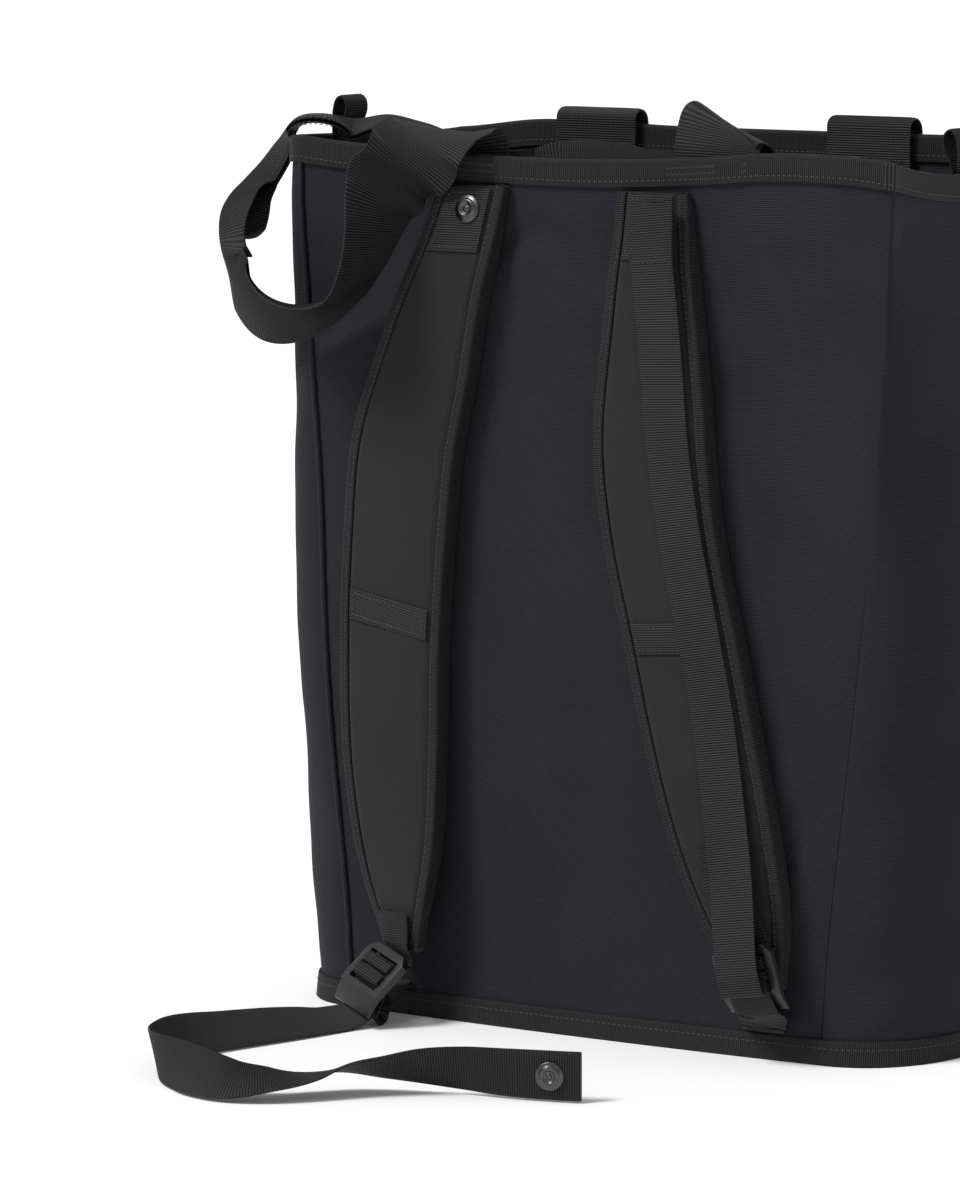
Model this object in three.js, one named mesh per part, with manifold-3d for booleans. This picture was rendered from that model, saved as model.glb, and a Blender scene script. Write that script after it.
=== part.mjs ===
import * as THREE from "three";
import { mergeVertices } from "three/addons/utils/BufferGeometryUtils.js";
import Module from "manifold-3d";

// A convertible backpack, standing on its base with its carrying straps towards -Y.
// X runs across the bag, Y from its back panel to its front panel, Z up, all in millimetres.
// Left and right are as seen by someone who looks at the back panel.
// The origin is the middle of the base's underside.

// Sizes of the body
const bodyHeight = 462;
const footWidth = 292;
const footDepth = 124;
const endReach = 48;
const mouthWidth = 360;
const mouthDepth = 152;
const panelBulge = 6;
const mouthWave = 10;
const wall = 2;
const baseThickness = 3;
const gap = 0.3;

// Sizes of the tapes that bind the edges
const tapeThickness = 1.5;
const mouthTapeHeight = 14;
const baseTapeHeight = 13;
const baseTapeFlare = 2.2;

// Sizes of the shoulder pads
const padShare = 0.8745;
const padLength = bodyHeight * padShare;
const padWidth = 70;
const padThickness = 12;
const padTape = 1.2;
const padTapeLeg = 6;
const patchLength = 34;
const patchThickness = 1.2;
const bandHeight = 16;
const bandPlace = 0.56;

// Sizes of the webbing, the ladder locks and the snaps
const webWidth = 25;
const webThickness = 1.5;
const lockWidth = 36;
const lockArm = 4.5;
const lockBar = 3;
const lockThickness = 4;
const lipLength = 13;
const lipDrop = 5.5;
const snapDiameter = 14.4;
const snapHeight = 2.4;
const anchorSpacing = 230;
const floorTailSpan = 230;
const floorTailLength = floorTailSpan * 1.85;
const foldedEnd = 37;

// Sizes of the handles and the side loops
const handleWidth = 50;
const handleThickness = 1.8;
const handleSpacing = 169;
const handleHang = 176;
const handleRoot = 24;
const handleCrest = 7;
const loopWidth = 20;
const loopHeight = 20;
const loopThickness = 1.5;
const loopPlace = { left: -0.2, right: 0.24 };

// The body from foot to mouth. left and right are how far each seam has come from its foot place to
// its mouth place, the reaches are shares of endReach, and square is 0 for a round gusset corner.
const bodyTable = [
  { up: 0.0, left: -0.04, right: 0.0, leftReach: 0.88, rightReach: 1.0, square: 0.0, bulge: 0.7 },
  { up: 0.13, left: 0.02, right: 0.15, leftReach: 1.0, rightReach: 1.05, square: 0.0, bulge: 0.9 },
  { up: 0.36, left: 0.28, right: 0.56, leftReach: 0.9, rightReach: 0.84, square: 0.08, bulge: 1.0 },
  { up: 0.6, left: 0.36, right: 0.97, leftReach: 0.88, rightReach: 0.52, square: 0.25, bulge: 1.0 },
  { up: 0.8, left: 0.5, right: 1.24, leftReach: 0.66, rightReach: 0.2, square: 0.42, bulge: 0.8 },
  { up: 0.92, left: 0.6, right: 1.35, leftReach: 0.53, rightReach: 0.0, square: 0.5, bulge: 0.6 },
  { up: 1.0, left: 0.58, right: 1.4, leftReach: 0.46, rightReach: -0.1, square: 0.5, bulge: 0.5 },
];

// The rise and fall of the mouth, as shares of mouthWave. around counts 1 for each side of the bag:
// back panel 0 to 1, right gusset 1 to 2, front panel 2 to 3, left gusset 3 to 4.
const mouthTable = [
  { around: 0.0, rise: 0.3 },
  { around: 0.08, rise: 0.05 },
  { around: 0.28, rise: -0.3 },
  { around: 0.5, rise: -0.4 },
  { around: 0.68, rise: -0.1 },
  { around: 0.8, rise: 0.25 },
  { around: 0.92, rise: 0.25 },
  { around: 1.0, rise: 0.0 },
  { around: 1.25, rise: -0.6 },
  { around: 1.5, rise: -0.95 },
  { around: 1.75, rise: -0.4 },
  { around: 2.0, rise: 0.45 },
  { around: 2.3, rise: 0.5 },
  { around: 2.6, rise: 0.5 },
  { around: 2.85, rise: 0.65 },
  { around: 3.0, rise: 0.1 },
  { around: 3.3, rise: -0.1 },
  { around: 3.6, rise: 0.1 },
  { around: 3.85, rise: 0.25 },
  { around: 4.0, rise: 0.3 },
];

// Each pad from its top down. middle is a share of half the mouth's width, lift of the pad's
// thickness, and turn is how steeply the pad's right side swings away from the panel.
const padTables = {
  left: [
    { down: 0.0, middle: -0.292, lift: 0.1, turn: 0.0 },
    { down: 0.08, middle: -0.335, lift: 0.12, turn: 0.0 },
    { down: 0.16, middle: -0.4, lift: 0.15, turn: 0.0 },
    { down: 0.24, middle: -0.455, lift: 0.18, turn: 0.0 },
    { down: 0.34, middle: -0.52, lift: 0.2, turn: 0.0 },
    { down: 0.45, middle: -0.55, lift: 0.2, turn: 0.02 },
    { down: 0.6, middle: -0.575, lift: 0.2, turn: 0.04 },
    { down: 0.75, middle: -0.58, lift: 0.2, turn: 0.06 },
    { down: 0.86, middle: -0.565, lift: 0.25, turn: 0.14 },
    { down: 0.94, middle: -0.55, lift: 0.4, turn: 0.28 },
    { down: 1.0, middle: -0.54, lift: 0.6, turn: 0.36 },
  ],
  right: [
    { down: 0.0, middle: 0.318, lift: 0.1, turn: 0.0 },
    { down: 0.08, middle: 0.33, lift: 0.12, turn: 0.0 },
    { down: 0.16, middle: 0.332, lift: 0.15, turn: 0.0 },
    { down: 0.25, middle: 0.33, lift: 0.18, turn: 0.0 },
    { down: 0.34, middle: 0.333, lift: 0.2, turn: 0.0 },
    { down: 0.45, middle: 0.365, lift: 0.2, turn: 0.0 },
    { down: 0.56, middle: 0.42, lift: 0.2, turn: 0.0 },
    { down: 0.68, middle: 0.475, lift: 0.2, turn: 0.0 },
    { down: 0.8, middle: 0.537, lift: 0.22, turn: 0.0 },
    { down: 0.92, middle: 0.607, lift: 0.3, turn: 0.0 },
    { down: 1.0, middle: 0.65, lift: 0.4, turn: 0.0 },
  ],
};

// Both pads' width as a share of padWidth and their thickness as a share of padThickness
const padShape = [
  { down: 0.0, wide: 0.6, thick: 0.45 },
  { down: 0.05, wide: 0.64, thick: 0.75 },
  { down: 0.1, wide: 0.7, thick: 1.0 },
  { down: 0.2, wide: 0.84, thick: 1.0 },
  { down: 0.3, wide: 0.95, thick: 1.0 },
  { down: 0.45, wide: 0.97, thick: 1.0 },
  { down: 0.6, wide: 0.96, thick: 1.0 },
  { down: 0.75, wide: 0.93, thick: 1.0 },
  { down: 0.86, wide: 0.83, thick: 0.98 },
  { down: 0.93, wide: 0.67, thick: 0.85 },
  { down: 0.98, wide: 0.48, thick: 0.68 },
  { down: 1.0, wide: 0.4, thick: 0.6 },
];

// The right tail's middle line on its pad, as a share of half the mouth's width, and how far it is
// raised, as a share of what its snap needs
const tailOnPad = [
  { down: 0.0, middle: 0.35, raised: 1.0 },
  { down: 0.08, middle: 0.368, raised: 1.0 },
  { down: 0.18, middle: 0.384, raised: 0.3 },
  { down: 0.28, middle: 0.395, raised: 0.0 },
  { down: 0.4, middle: 0.43, raised: 0.0 },
  { down: 0.52, middle: 0.482, raised: 0.0 },
  { down: 0.65, middle: 0.538, raised: 0.0 },
  { down: 0.75, middle: 0.572, raised: 0.3 },
  { down: 0.85, middle: 0.612, raised: 1.2 },
];

// The loose tail on the floor. x and y are shares of floorTailSpan from the strap's anchor, lean turns
// it about its own way from standing on its edge, and hover is a share of half its width.
const floorTable = [
  { along: 0.0, x: 0.006, y: -0.252, lean: -70, hover: 0.0 },
  { along: 0.095, x: -0.03, y: -0.417, lean: -57, hover: 0.0 },
  { along: 0.188, x: -0.07, y: -0.578, lean: -48, hover: 0.0 },
  { along: 0.243, x: -0.083, y: -0.676, lean: -39, hover: 0.0 },
  { along: 0.318, x: -0.061, y: -0.809, lean: -25, hover: 0.0 },
  { along: 0.413, x: 0.013, y: -0.961, lean: -12, hover: 0.0 },
  { along: 0.475, x: 0.109, y: -1.017, lean: 12, hover: 0.0 },
  { along: 0.531, x: 0.204, y: -1.043, lean: 36, hover: 0.05 },
  { along: 0.588, x: 0.304, y: -1.03, lean: 60, hover: 0.2 },
  { along: 0.643, x: 0.378, y: -0.965, lean: 82, hover: 0.65 },
  { along: 0.697, x: 0.435, y: -0.887, lean: 104, hover: 0.75 },
  { along: 0.749, x: 0.504, y: -0.826, lean: 122, hover: 0.5 },
  { along: 0.81, x: 0.596, y: -0.77, lean: 145, hover: 0.28 },
  { along: 0.873, x: 0.7, y: -0.726, lean: 163, hover: 0.1 },
  { along: 0.918, x: 0.778, y: -0.709, lean: 172, hover: 0.03 },
  { along: 1.0, x: 0.928, y: -0.657, lean: 178, hover: 0.0 },
];

// The back handle from its left root to its right one. x and y are shares of half the mouth's width
// and depth, z is a share of handleWidth above the mouth, the next three point across the webbing,
// and fold is 1 where it is folded double along its middle for the grip.
const backHandleTable = [
  { x: -0.36, y: -0.9, z: -0.3, i: 1, j: 0, k: 0, fold: 0 },
  { x: -0.372, y: -0.9, z: 0, i: 1, j: 0, k: 0, fold: 0 },
  { x: -0.394, y: -0.928, z: 0.132, i: 0.97, j: 0.2, k: -0.1, fold: 0 },
  { x: -0.461, y: -1.099, z: 0.16, i: 0.93, j: 0.35, k: -0.12, fold: 0 },
  { x: -0.478, y: -1.237, z: 0.07, i: 0.88, j: 0.47, k: -0.1, fold: 0 },
  { x: -0.486, y: -1.322, z: -0.12, i: 0.75, j: 0.65, k: -0.1, fold: 0 },
  { x: -0.494, y: -1.388, z: -0.32, i: 0.5, j: 0.86, k: -0.1, fold: 0 },
  { x: -0.505, y: -1.47, z: -0.569, i: 0.25, j: 0.96, k: -0.12, fold: 0 },
  { x: -0.516, y: -1.498, z: -0.816, i: 0.05, j: 0.99, k: -0.11, fold: 0 },
  { x: -0.559, y: -1.509, z: -1.26, i: -0.14, j: 0.99, k: -0.07, fold: 0 },
  { x: -0.612, y: -1.494, z: -1.492, i: -0.19, j: 0.98, k: 0.04, fold: 0 },
  { x: -0.81, y: -1.371, z: -1.72, i: -0.45, j: 0.85, k: -0.29, fold: 0 },
  { x: -1.022, y: -1.207, z: -1.711, i: -0.59, j: 0.59, k: -0.55, fold: 0 },
  { x: -1.116, y: -1.144, z: -1.497, i: -0.6, j: 0.56, k: -0.57, fold: 0 },
  { x: -1.157, y: -1.12, z: -1.296, i: -0.61, j: 0.65, k: -0.46, fold: 0 },
  { x: -1.165, y: -1.158, z: -1.067, i: -0.4, j: 0.86, k: -0.31, fold: 0.2 },
  { x: -1.178, y: -1.105, z: -0.818, i: -0.36, j: 0.88, k: -0.32, fold: 0.5 },
  { x: -1.188, y: -0.967, z: -0.644, i: 0.09, j: 0.58, k: -0.81, fold: 0.85 },
  { x: -1.186, y: -0.804, z: -0.494, i: 0.14, j: 0.55, k: -0.82, fold: 1 },
  { x: -1.169, y: -0.648, z: -0.305, i: 0.28, j: 0.63, k: -0.73, fold: 1 },
  { x: -1.138, y: -0.521, z: -0.057, i: 0.43, j: 0.64, k: -0.64, fold: 1 },
  { x: -1.087, y: -0.468, z: 0.166, i: 0.35, j: 0.44, k: -0.83, fold: 1 },
  { x: -1.014, y: -0.434, z: 0.201, i: -0.02, j: 0, k: -1, fold: 1 },
  { x: -0.938, y: -0.289, z: 0.153, i: -0.14, j: 0.27, k: -0.95, fold: 1 },
  { x: -0.835, y: -0.211, z: 0.201, i: -0.06, j: 0.25, k: -0.97, fold: 1 },
  { x: -0.749, y: -0.184, z: 0.149, i: -0.19, j: 0.26, k: -0.95, fold: 1 },
  { x: -0.657, y: -0.197, z: 0.075, i: -0.25, j: 0.33, k: -0.91, fold: 1 },
  { x: -0.575, y: -0.237, z: -0.051, i: -0.5, j: 0.35, k: -0.79, fold: 1 },
  { x: -0.511, y: -0.263, z: -0.3, i: -0.34, j: 0.1, k: -0.93, fold: 0.75 },
  { x: -0.389, y: -0.316, z: -0.52, i: -0.15, j: -0.05, k: -0.99, fold: 0.35 },
  { x: -0.278, y: -0.349, z: -0.56, i: 0, j: -0.1, k: -1, fold: 0.08 },
  { x: -0.18, y: -0.36, z: -0.46, i: 0, j: -0.12, k: -1, fold: 0 },
  { x: -0.02, y: -0.4, z: -0.45, i: 0, j: -0.1, k: -1, fold: 0 },
  { x: 0.15, y: -0.45, z: -0.52, i: 0.1, j: -0.05, k: -1, fold: 0 },
  { x: 0.33, y: -0.5, z: -0.43, i: 0.4, j: -0.05, k: -0.9, fold: 0 },
  { x: 0.45, y: -0.58, z: -0.1, i: 0.75, j: -0.05, k: -0.65, fold: 0 },
  { x: 0.5, y: -0.7, z: 0.2, i: 0.85, j: 0, k: -0.45, fold: 0 },
  { x: 0.49, y: -0.84, z: 0.3, i: 0.9, j: 0, k: -0.4, fold: 0 },
  { x: 0.48, y: -0.9, z: 0.1, i: 1, j: 0, k: -0.12, fold: 0 },
  { x: 0.48, y: -0.9, z: -0.3, i: 1, j: 0, k: 0, fold: 0 },
];

// Colours and finishes
const materials = {
  bodyCloth: finish(0x20232b, 0.9),
  padCloth: finish(0x262728, 0.92),
  tape: finish(0x1b1b1d, 0.85),
  webbing: finish(0x1d1d1e, 0.8),
  lockPlastic: finish(0x101113, 0.4),
  snapMetal: finish(0x45474a, 0.4, 0.9),
};

function finish(color, roughness, metalness = 0) {
  return new THREE.MeshStandardMaterial({ color, roughness, metalness });
}

// Reading a table: every column at one value of its first column, smooth through the rows
function readTable(table, value) {
  const key = Object.keys(table[0])[0];
  const last = table.length - 2;
  let row = table.findIndex((entry, index) => index > 0 && value <= entry[key]) - 1;
  row = row < 0 ? (value <= table[0][key] ? 0 : last) : row;
  const [from, to] = [table[row], table[row + 1]];
  const before = table[Math.max(row - 1, 0)];
  const after = table[Math.min(row + 2, table.length - 1)];
  const span = to[key] - from[key];
  const share = THREE.MathUtils.clamp((value - from[key]) / span, 0, 1);
  const result = {};
  for (const column of Object.keys(from)) {
    const startSlope = ((to[column] - before[column]) / (to[key] - before[key])) * span;
    const endSlope = ((after[column] - from[column]) / (after[key] - from[key])) * span;
    result[column] =
      (2 * share ** 3 - 3 * share ** 2 + 1) * from[column] +
      (share ** 3 - 2 * share ** 2 + share) * startSlope +
      (3 * share ** 2 - 2 * share ** 3) * to[column] +
      (share ** 3 - share ** 2) * endSlope;
  }
  return result;
}

function evenShares(count, from = 0, to = 1) {
  return Array.from({ length: count + 1 }, (_, index) => THREE.MathUtils.lerp(from, to, index / count));
}

// A closed solid through rings of points. In each ring, point k faces point k from the end, so a
// strip between them closes each end. A looped loft has no ends.
function loft(rings, looped = false) {
  const size = rings[0].length;
  const points = rings.flat();
  const faces = [];
  const quad = (a, b, c, d) => faces.push(a, b, c, a, c, d);
  const joints = looped ? rings.length : rings.length - 1;
  for (let ring = 0; ring < joints; ring++) {
    const next = ((ring + 1) % rings.length) * size;
    for (let k = 0; k < size; k++) {
      const l = (k + 1) % size;
      quad(ring * size + k, ring * size + l, next + l, next + k);
    }
  }
  if (!looped) {
    const top = (rings.length - 1) * size;
    for (let k = 0; k < size / 2 - 1; k++) {
      const [a, b, c, d] = [k, size - 1 - k, size - 2 - k, k + 1];
      quad(a, b, c, d);
      quad(top + a, top + d, top + c, top + b);
    }
  }
  const geometry = new THREE.BufferGeometry();
  geometry.setAttribute("position", new THREE.Float32BufferAttribute(points.flatMap((p) => p.toArray()), 3));
  geometry.setIndex(volumeOf(points, faces) < 0 ? faces.reverse() : faces);
  return geometry;
}

function volumeOf(points, faces) {
  let volume = 0;
  for (let k = 0; k < faces.length; k += 3) {
    const [a, b, c] = [points[faces[k]], points[faces[k + 1]], points[faces[k + 2]]];
    volume += a.dot(new THREE.Vector3().crossVectors(b, c)) / 6;
  }
  return volume;
}

const bag = new THREE.Group();

function addPiece(name, geometry, material) {
  const mesh = new THREE.Mesh(geometry, material);
  mesh.name = name;
  bag.add(mesh);
  return mesh;
}

// The body's outline at one height: a closed loop of 2D points, seen from above and anticlockwise
const panelSteps = 20;
const gussetSteps = 10;
const sideSteps = [panelSteps, gussetSteps, panelSteps, gussetSteps];
const loopSize = sideSteps.reduce((sum, steps) => sum + steps, 0);
const wallFoot = baseThickness + gap;
const wallTop = bodyHeight - tapeThickness - gap;

function seams(up) {
  const row = readTable(bodyTable, up);
  const widening = (mouthWidth - footWidth) / 2;
  return {
    left: -footWidth / 2 - widening * row.left,
    right: footWidth / 2 + widening * row.right,
    half: THREE.MathUtils.lerp(footDepth, mouthDepth, up) / 2,
    row,
  };
}

function outline(up) {
  const { left, right, half, row } = seams(up);
  const points = [];
  const panel = (from, to, side) => {
    for (let k = 0; k < panelSteps; k++) {
      const share = k / panelSteps;
      const bulge = 4 * share * (1 - share) * row.bulge * panelBulge;
      points.push(new THREE.Vector2(THREE.MathUtils.lerp(from, to, share), side * (half + bulge)));
    }
  };
  const gusset = (seam, side, reach, square) => {
    const handle = seam + side * ((reach * endReach) / 0.75);
    const ends = side * half;
    const inner = ends * (1 - square);
    const curve = new THREE.CubicBezierCurve(
      new THREE.Vector2(seam, -ends),
      new THREE.Vector2(handle, -inner),
      new THREE.Vector2(handle, inner),
      new THREE.Vector2(seam, ends),
    );
    points.push(...curve.getPoints(gussetSteps).slice(0, gussetSteps));
  };
  panel(left, right, -1);
  gusset(right, 1, row.rightReach, row.square);
  panel(right, left, 1);
  gusset(left, -1, row.leftReach, 0);
  return points;
}

// A loop or an open line of 2D points moved sideways, to the right of its way, with sharp corners
function moveSideways(points, distance, open = false) {
  const count = points.length;
  return points.map((point, index) => {
    const before = points[open ? Math.max(index - 1, 0) : (index + count - 1) % count];
    const after = points[open ? Math.min(index + 1, count - 1) : (index + 1) % count];
    const sides = [[before, point], [point, after]]
      .map(([a, b]) => new THREE.Vector2(b.y - a.y, a.x - b.x))
      .filter((side) => side.length() > 0)
      .map((side) => side.normalize());
    const middle = sides.reduce((sum, side) => sum.clone().add(side)).normalize();
    return point.clone().addScaledVector(middle, distance / Math.max(middle.dot(sides[0]), 0.6));
  });
}

// Where a point of the loop stands around the bag, 0 to 4
function aroundOf(index) {
  let rest = ((index % loopSize) + loopSize) % loopSize;
  let side = 0;
  while (rest >= sideSteps[side]) {
    rest -= sideSteps[side];
    side += 1;
  }
  return side + rest / sideSteps[side];
}

function mouthRise(around) {
  return readTable(mouthTable, around).rise * mouthWave;
}

function levelHeight(up, index) {
  return THREE.MathUtils.lerp(wallFoot, wallTop + mouthRise(aroundOf(index)), up);
}

const shareOfHeight = (height) => (height - wallFoot) / (wallTop - wallFoot);
const mouthTapeFoot = shareOfHeight(bodyHeight - mouthTapeHeight);
const baseTapeTop = shareOfHeight(baseTapeHeight);
const levels = [0, baseTapeTop, ...evenShares(8, 0.1, 0.93), mouthTapeFoot, 1];

function loopAt(up, distance, height = null) {
  return moveSideways(outline(up), distance).map((point, index) =>
    new THREE.Vector3(point.x, point.y, height === null ? levelHeight(up, index) : height),
  );
}

// Body panels and gussets
function wallPiece(name, first, steps) {
  const indices = Array.from({ length: steps + 1 }, (_, k) => (first + k) % loopSize);
  const trim = (line) => {
    const moved = line.map((point) => point.clone());
    const pull = (end, near) => end.add(near.clone().sub(end).setLength(gap * 0.7));
    pull(moved[0], line[1]);
    pull(moved[steps], line[steps - 1]);
    return moved;
  };
  const rings = levels.map((up) => {
    const [outer, inner] = [0, -wall].map((distance) => {
      const loop = loopAt(up, distance);
      return trim(indices.map((index) => loop[index]));
    });
    return [...outer, ...inner.reverse()];
  });
  addPiece(name, loft(rings), materials.bodyCloth);
}

function buildBody() {
  const names = ["back_panel", "gusset_right", "front_panel", "gusset_left"];
  let first = 0;
  names.forEach((name, side) => {
    wallPiece(name, first, sideSteps[side]);
    first += sideSteps[side];
  });
  const base = new THREE.ExtrudeGeometry(new THREE.Shape(outline(0)), {
    depth: baseThickness,
    bevelEnabled: false,
  });
  addPiece("base_panel", base, materials.bodyCloth);
}

// Rings across a tape, in the order in which their triangles lie flat on those of the walls
function ringsAround(rows) {
  return Array.from({ length: loopSize }, (_, k) => rows.map((row) => row[loopSize - 1 - k]));
}

function buildMouthTape() {
  const outside = gap + tapeThickness;
  const inside = -(wall + gap + tapeThickness);
  const raise = (loop, height) => loop.map((p) => p.clone().setZ(p.z + height));
  const top = tapeThickness + gap;
  const rows = [
    loopAt(mouthTapeFoot, outside),
    raise(loopAt(1, outside), top),
    raise(loopAt(1, inside), top),
    loopAt(mouthTapeFoot, inside),
    loopAt(mouthTapeFoot, inside + tapeThickness),
    raise(loopAt(1, inside + tapeThickness), gap),
    raise(loopAt(1, gap), gap),
    loopAt(mouthTapeFoot, gap),
  ];
  addPiece("mouth_tape", loft(ringsAround(rows), true), materials.tape);
}

function buildBaseTape() {
  const rows = [
    loopAt(0, gap, 0),
    loopAt(0, gap + tapeThickness + baseTapeFlare, 0),
    loopAt(baseTapeTop, gap + tapeThickness),
    loopAt(baseTapeTop, gap),
  ];
  addPiece("base_tape", loft(ringsAround(rows), true), materials.tape);
}

// The outer face of the back panel: its Y at a place on it
function backFace(x, z) {
  const { left, right, half, row } = seams(THREE.MathUtils.clamp(shareOfHeight(z), 0, 1));
  const share = THREE.MathUtils.clamp((x - left) / (right - left), 0, 1);
  return -half - 4 * share * (1 - share) * row.bulge * panelBulge;
}

// A pad's own coordinates: down its length, across it and out from the panel
const padTop = bodyHeight - mouthTapeHeight - mouthWave * 0.4 - 4 * gap;
const padLow = padTop - padLength;
const padSteps = 20;
const padStep = padTapeLeg + gap;
const padFace = padStep + padTape;

function padPlace(side, down) {
  const held = Math.min(down, 1 - padFace / padLength);
  const { lift, turn, middle } = readTable(padTables[side], held);
  const { thick, wide } = readTable(padShape, held);
  return {
    middle: (readTable(padTables[side], down).middle * mouthWidth) / 2,
    z: padTop - padLength * down,
    half: (readTable(padShape, down).wide * padWidth) / 2,
    thick: thick * padThickness,
    outAt: (x) => lift * padThickness + turn * (x - (middle * mouthWidth - wide * padWidth) / 2),
  };
}

function padPoint(side, down, across, out) {
  const { middle, z, outAt } = padPlace(side, down);
  const x = middle + across;
  return new THREE.Vector3(x, backFace(x, z) - outAt(x) - out, z);
}

// The line down a pad's left edge, across its lower end and up its right edge, and that line moved
// inward. Rings of the pad and of its tape stand on the same places of it.
function padRim(side) {
  const edge = [...evenShares(padSteps, 0, 0.955), 1 - padFace / padLength, 1 - padStep / padLength, 1];
  const lowest = padPlace(side, 1);
  const path = [
    ...edge.map((down) => ({ down, across: -padPlace(side, down).half })),
    ...[-0.5, 0, 0.5].map((share) => ({ down: 1, across: share * lowest.half * 1.2 })),
    ...edge.map((down) => ({ down, across: padPlace(side, down).half })).reverse(),
  ];
  const line = path.map(({ down, across }) => {
    const { middle, z } = padPlace(side, down);
    return new THREE.Vector2(middle + across, z);
  });
  const pointAt = (index, { x, y: z }, out) => {
    return new THREE.Vector3(x, backFace(x, z) - padPlace(side, path[index].down).outAt(x) - out, z);
  };
  return { edge, path, pointAt, inward: (distance) => moveSideways(line, -distance, true) };
}

function buildPad(side) {
  const { edge, path, pointAt, inward } = padRim(side);
  const inset = padTape + gap;
  const lines = [inset, padStep, padFace].map(inward);
  const rings = edge.map((down, index) => {
    const { thick } = padPlace(side, down);
    const other = path.length - 1 - index;
    const last = index === edge.length - 1;
    const places = lines.map((line, depth) => {
      const ends = [line[index], line[other]];
      if (last) {
        const [from, to] = [lines[0][index], lines[0][other]];
        const share = (depth * 0.2 * padStep) / (to.x - from.x);
        return [from.clone().lerp(to, share), to.clone().lerp(from, share)];
      }
      return ends;
    });
    const face = index > edge.length - 3 ? inset : 0;
    const row = (depth, end, out) => pointAt(end === 0 ? index : other, places[depth][end], out);
    const corners = (end, outs) => outs.map((out, depth) => row(depth, end, out));
    return [
      ...corners(0, [thick - inset, thick - inset, thick - face]),
      ...corners(1, [thick - inset, thick - inset, thick - face]).reverse(),
      ...corners(1, [inset, inset, face]),
      ...corners(0, [inset, inset, face]).reverse(),
    ];
  });
  addPiece(`shoulder_pad_${side}`, loft(rings), materials.padCloth);
}

// The tape round a pad's edge: down its left side, across its lower end and up its right side
function buildPadTape(side) {
  const { path, pointAt, inward } = padRim(side);
  const lines = [0, padTape, padTapeLeg].map(inward);
  const rings = path.map(({ down }, index) => {
    const { thick } = padPlace(side, down);
    const corner = (depth, out) => pointAt(index, lines[depth][index], out);
    return [
      corner(2, thick), corner(0, thick), corner(0, 0), corner(2, 0),
      corner(2, padTape), corner(1, padTape), corner(1, thick - padTape), corner(2, thick - padTape),
    ];
  });
  addPiece(`pad_tape_${side}`, loft(rings), materials.tape);
}

// A flat piece sewn on a pad's face, from one place down it to another. skew is how far it drops from
// its left end to its right one, as a share of its width.
function buildPadPlate(name, side, from, to, skew, material) {
  const rings = evenShares(4, from, to).map((down) => {
    const { half, thick } = padPlace(side, down);
    const edge = half - padTapeLeg - padTape - 2 * gap;
    const corner = (share, out) => {
      const tilted = down + (skew * share * edge) / padLength;
      return padPoint(side, tilted, share * edge, thick + gap + out);
    };
    const shares = [-1, 0, 1];
    return [
      ...shares.map((share) => corner(share, patchThickness)),
      ...shares.map((share) => corner(share, 0)).reverse(),
    ];
  });
  addPiece(name, loft(rings), material);
}

// Webbing: a strip through stations, each with its middle, the way across it and its own width. A station
// with a fold has its two halves turned up from its middle line.
const foldClosed = THREE.MathUtils.degToRad(85);

function strip(name, stations, material) {
  const rings = stations.map((station, index) => {
    const before = stations[Math.max(index - 1, 0)].at;
    const after = stations[Math.min(index + 1, stations.length - 1)].at;
    const way = after.clone().sub(before).normalize();
    const across = station.across.clone().addScaledVector(way, -station.across.dot(way)).normalize();
    const normal = new THREE.Vector3().crossVectors(way, across);
    const corner = (a, n) =>
      station.at.clone().addScaledVector(across, (a * station.width) / 2)
        .addScaledVector(normal, (n * station.thick) / 2);
    if (station.fold === undefined) return [corner(-1, 1), corner(1, 1), corner(1, -1), corner(-1, -1)];
    const turn = station.fold * foldClosed;
    const place = (a, n) => station.at.clone().addScaledVector(across, a).addScaledVector(normal, -n);
    const foot = (-station.thick / 2) * Math.cos(turn);
    const reach = (station.width / 2) * Math.sin(turn);
    const outer = (side) => place((side * station.width * Math.cos(turn)) / 2, foot + reach);
    const inner = (side) => place(
      side * ((station.width * Math.cos(turn)) / 2 - station.thick * Math.sin(turn)),
      foot + reach + station.thick * Math.cos(turn),
    );
    const crease = place(0, foot + station.thick / Math.cos(turn));
    return [outer(-1), place(0, foot), outer(1), inner(1), crease, inner(-1)];
  });
  return addPiece(name, loft(rings), material);
}

function smoothStations(rows, stepsPerRow) {
  rows.slice(1).forEach((row, index) => row.across.dot(rows[index].across) < 0 && row.across.negate());
  const curve = new THREE.CatmullRomCurve3(rows.map((row) => row.at), false, "centripetal");
  const across = new THREE.CatmullRomCurve3(rows.map((row) => row.across), false, "catmullrom", 0.5);
  const count = (rows.length - 1) * stepsPerRow;
  return evenShares(count).map((share) => {
    const place = share * (rows.length - 1);
    const row = Math.min(Math.floor(place), rows.length - 2);
    const mix = (column) => THREE.MathUtils.lerp(rows[row][column], rows[row + 1][column], place - row);
    return {
      at: curve.getPoint(share),
      across: across.getPoint(share).normalize(),
      width: mix("width"),
      thick: mix("thick"),
      fold: rows[0].fold === undefined ? undefined : mix("fold"),
    };
  });
}

// Ladder locks: a frame with three slots and a bent lip, in the lock's own coordinates
const slotTop = 3.5;
const slotMiddle = 5;
const slotLow = 4.5;
const windowLength = slotTop + slotMiddle + slotLow + 2 * lockBar;
const windowTop = windowLength / 2 + 2;
const lockBars = {
  upper: windowTop - slotTop - lockBar / 2,
  lower: windowTop - slotTop - lockBar - slotMiddle - lockBar / 2,
  lip: windowTop - windowLength,
  rim: windowTop + lockArm,
};

const wasm = await Module();
wasm.setup();

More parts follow.
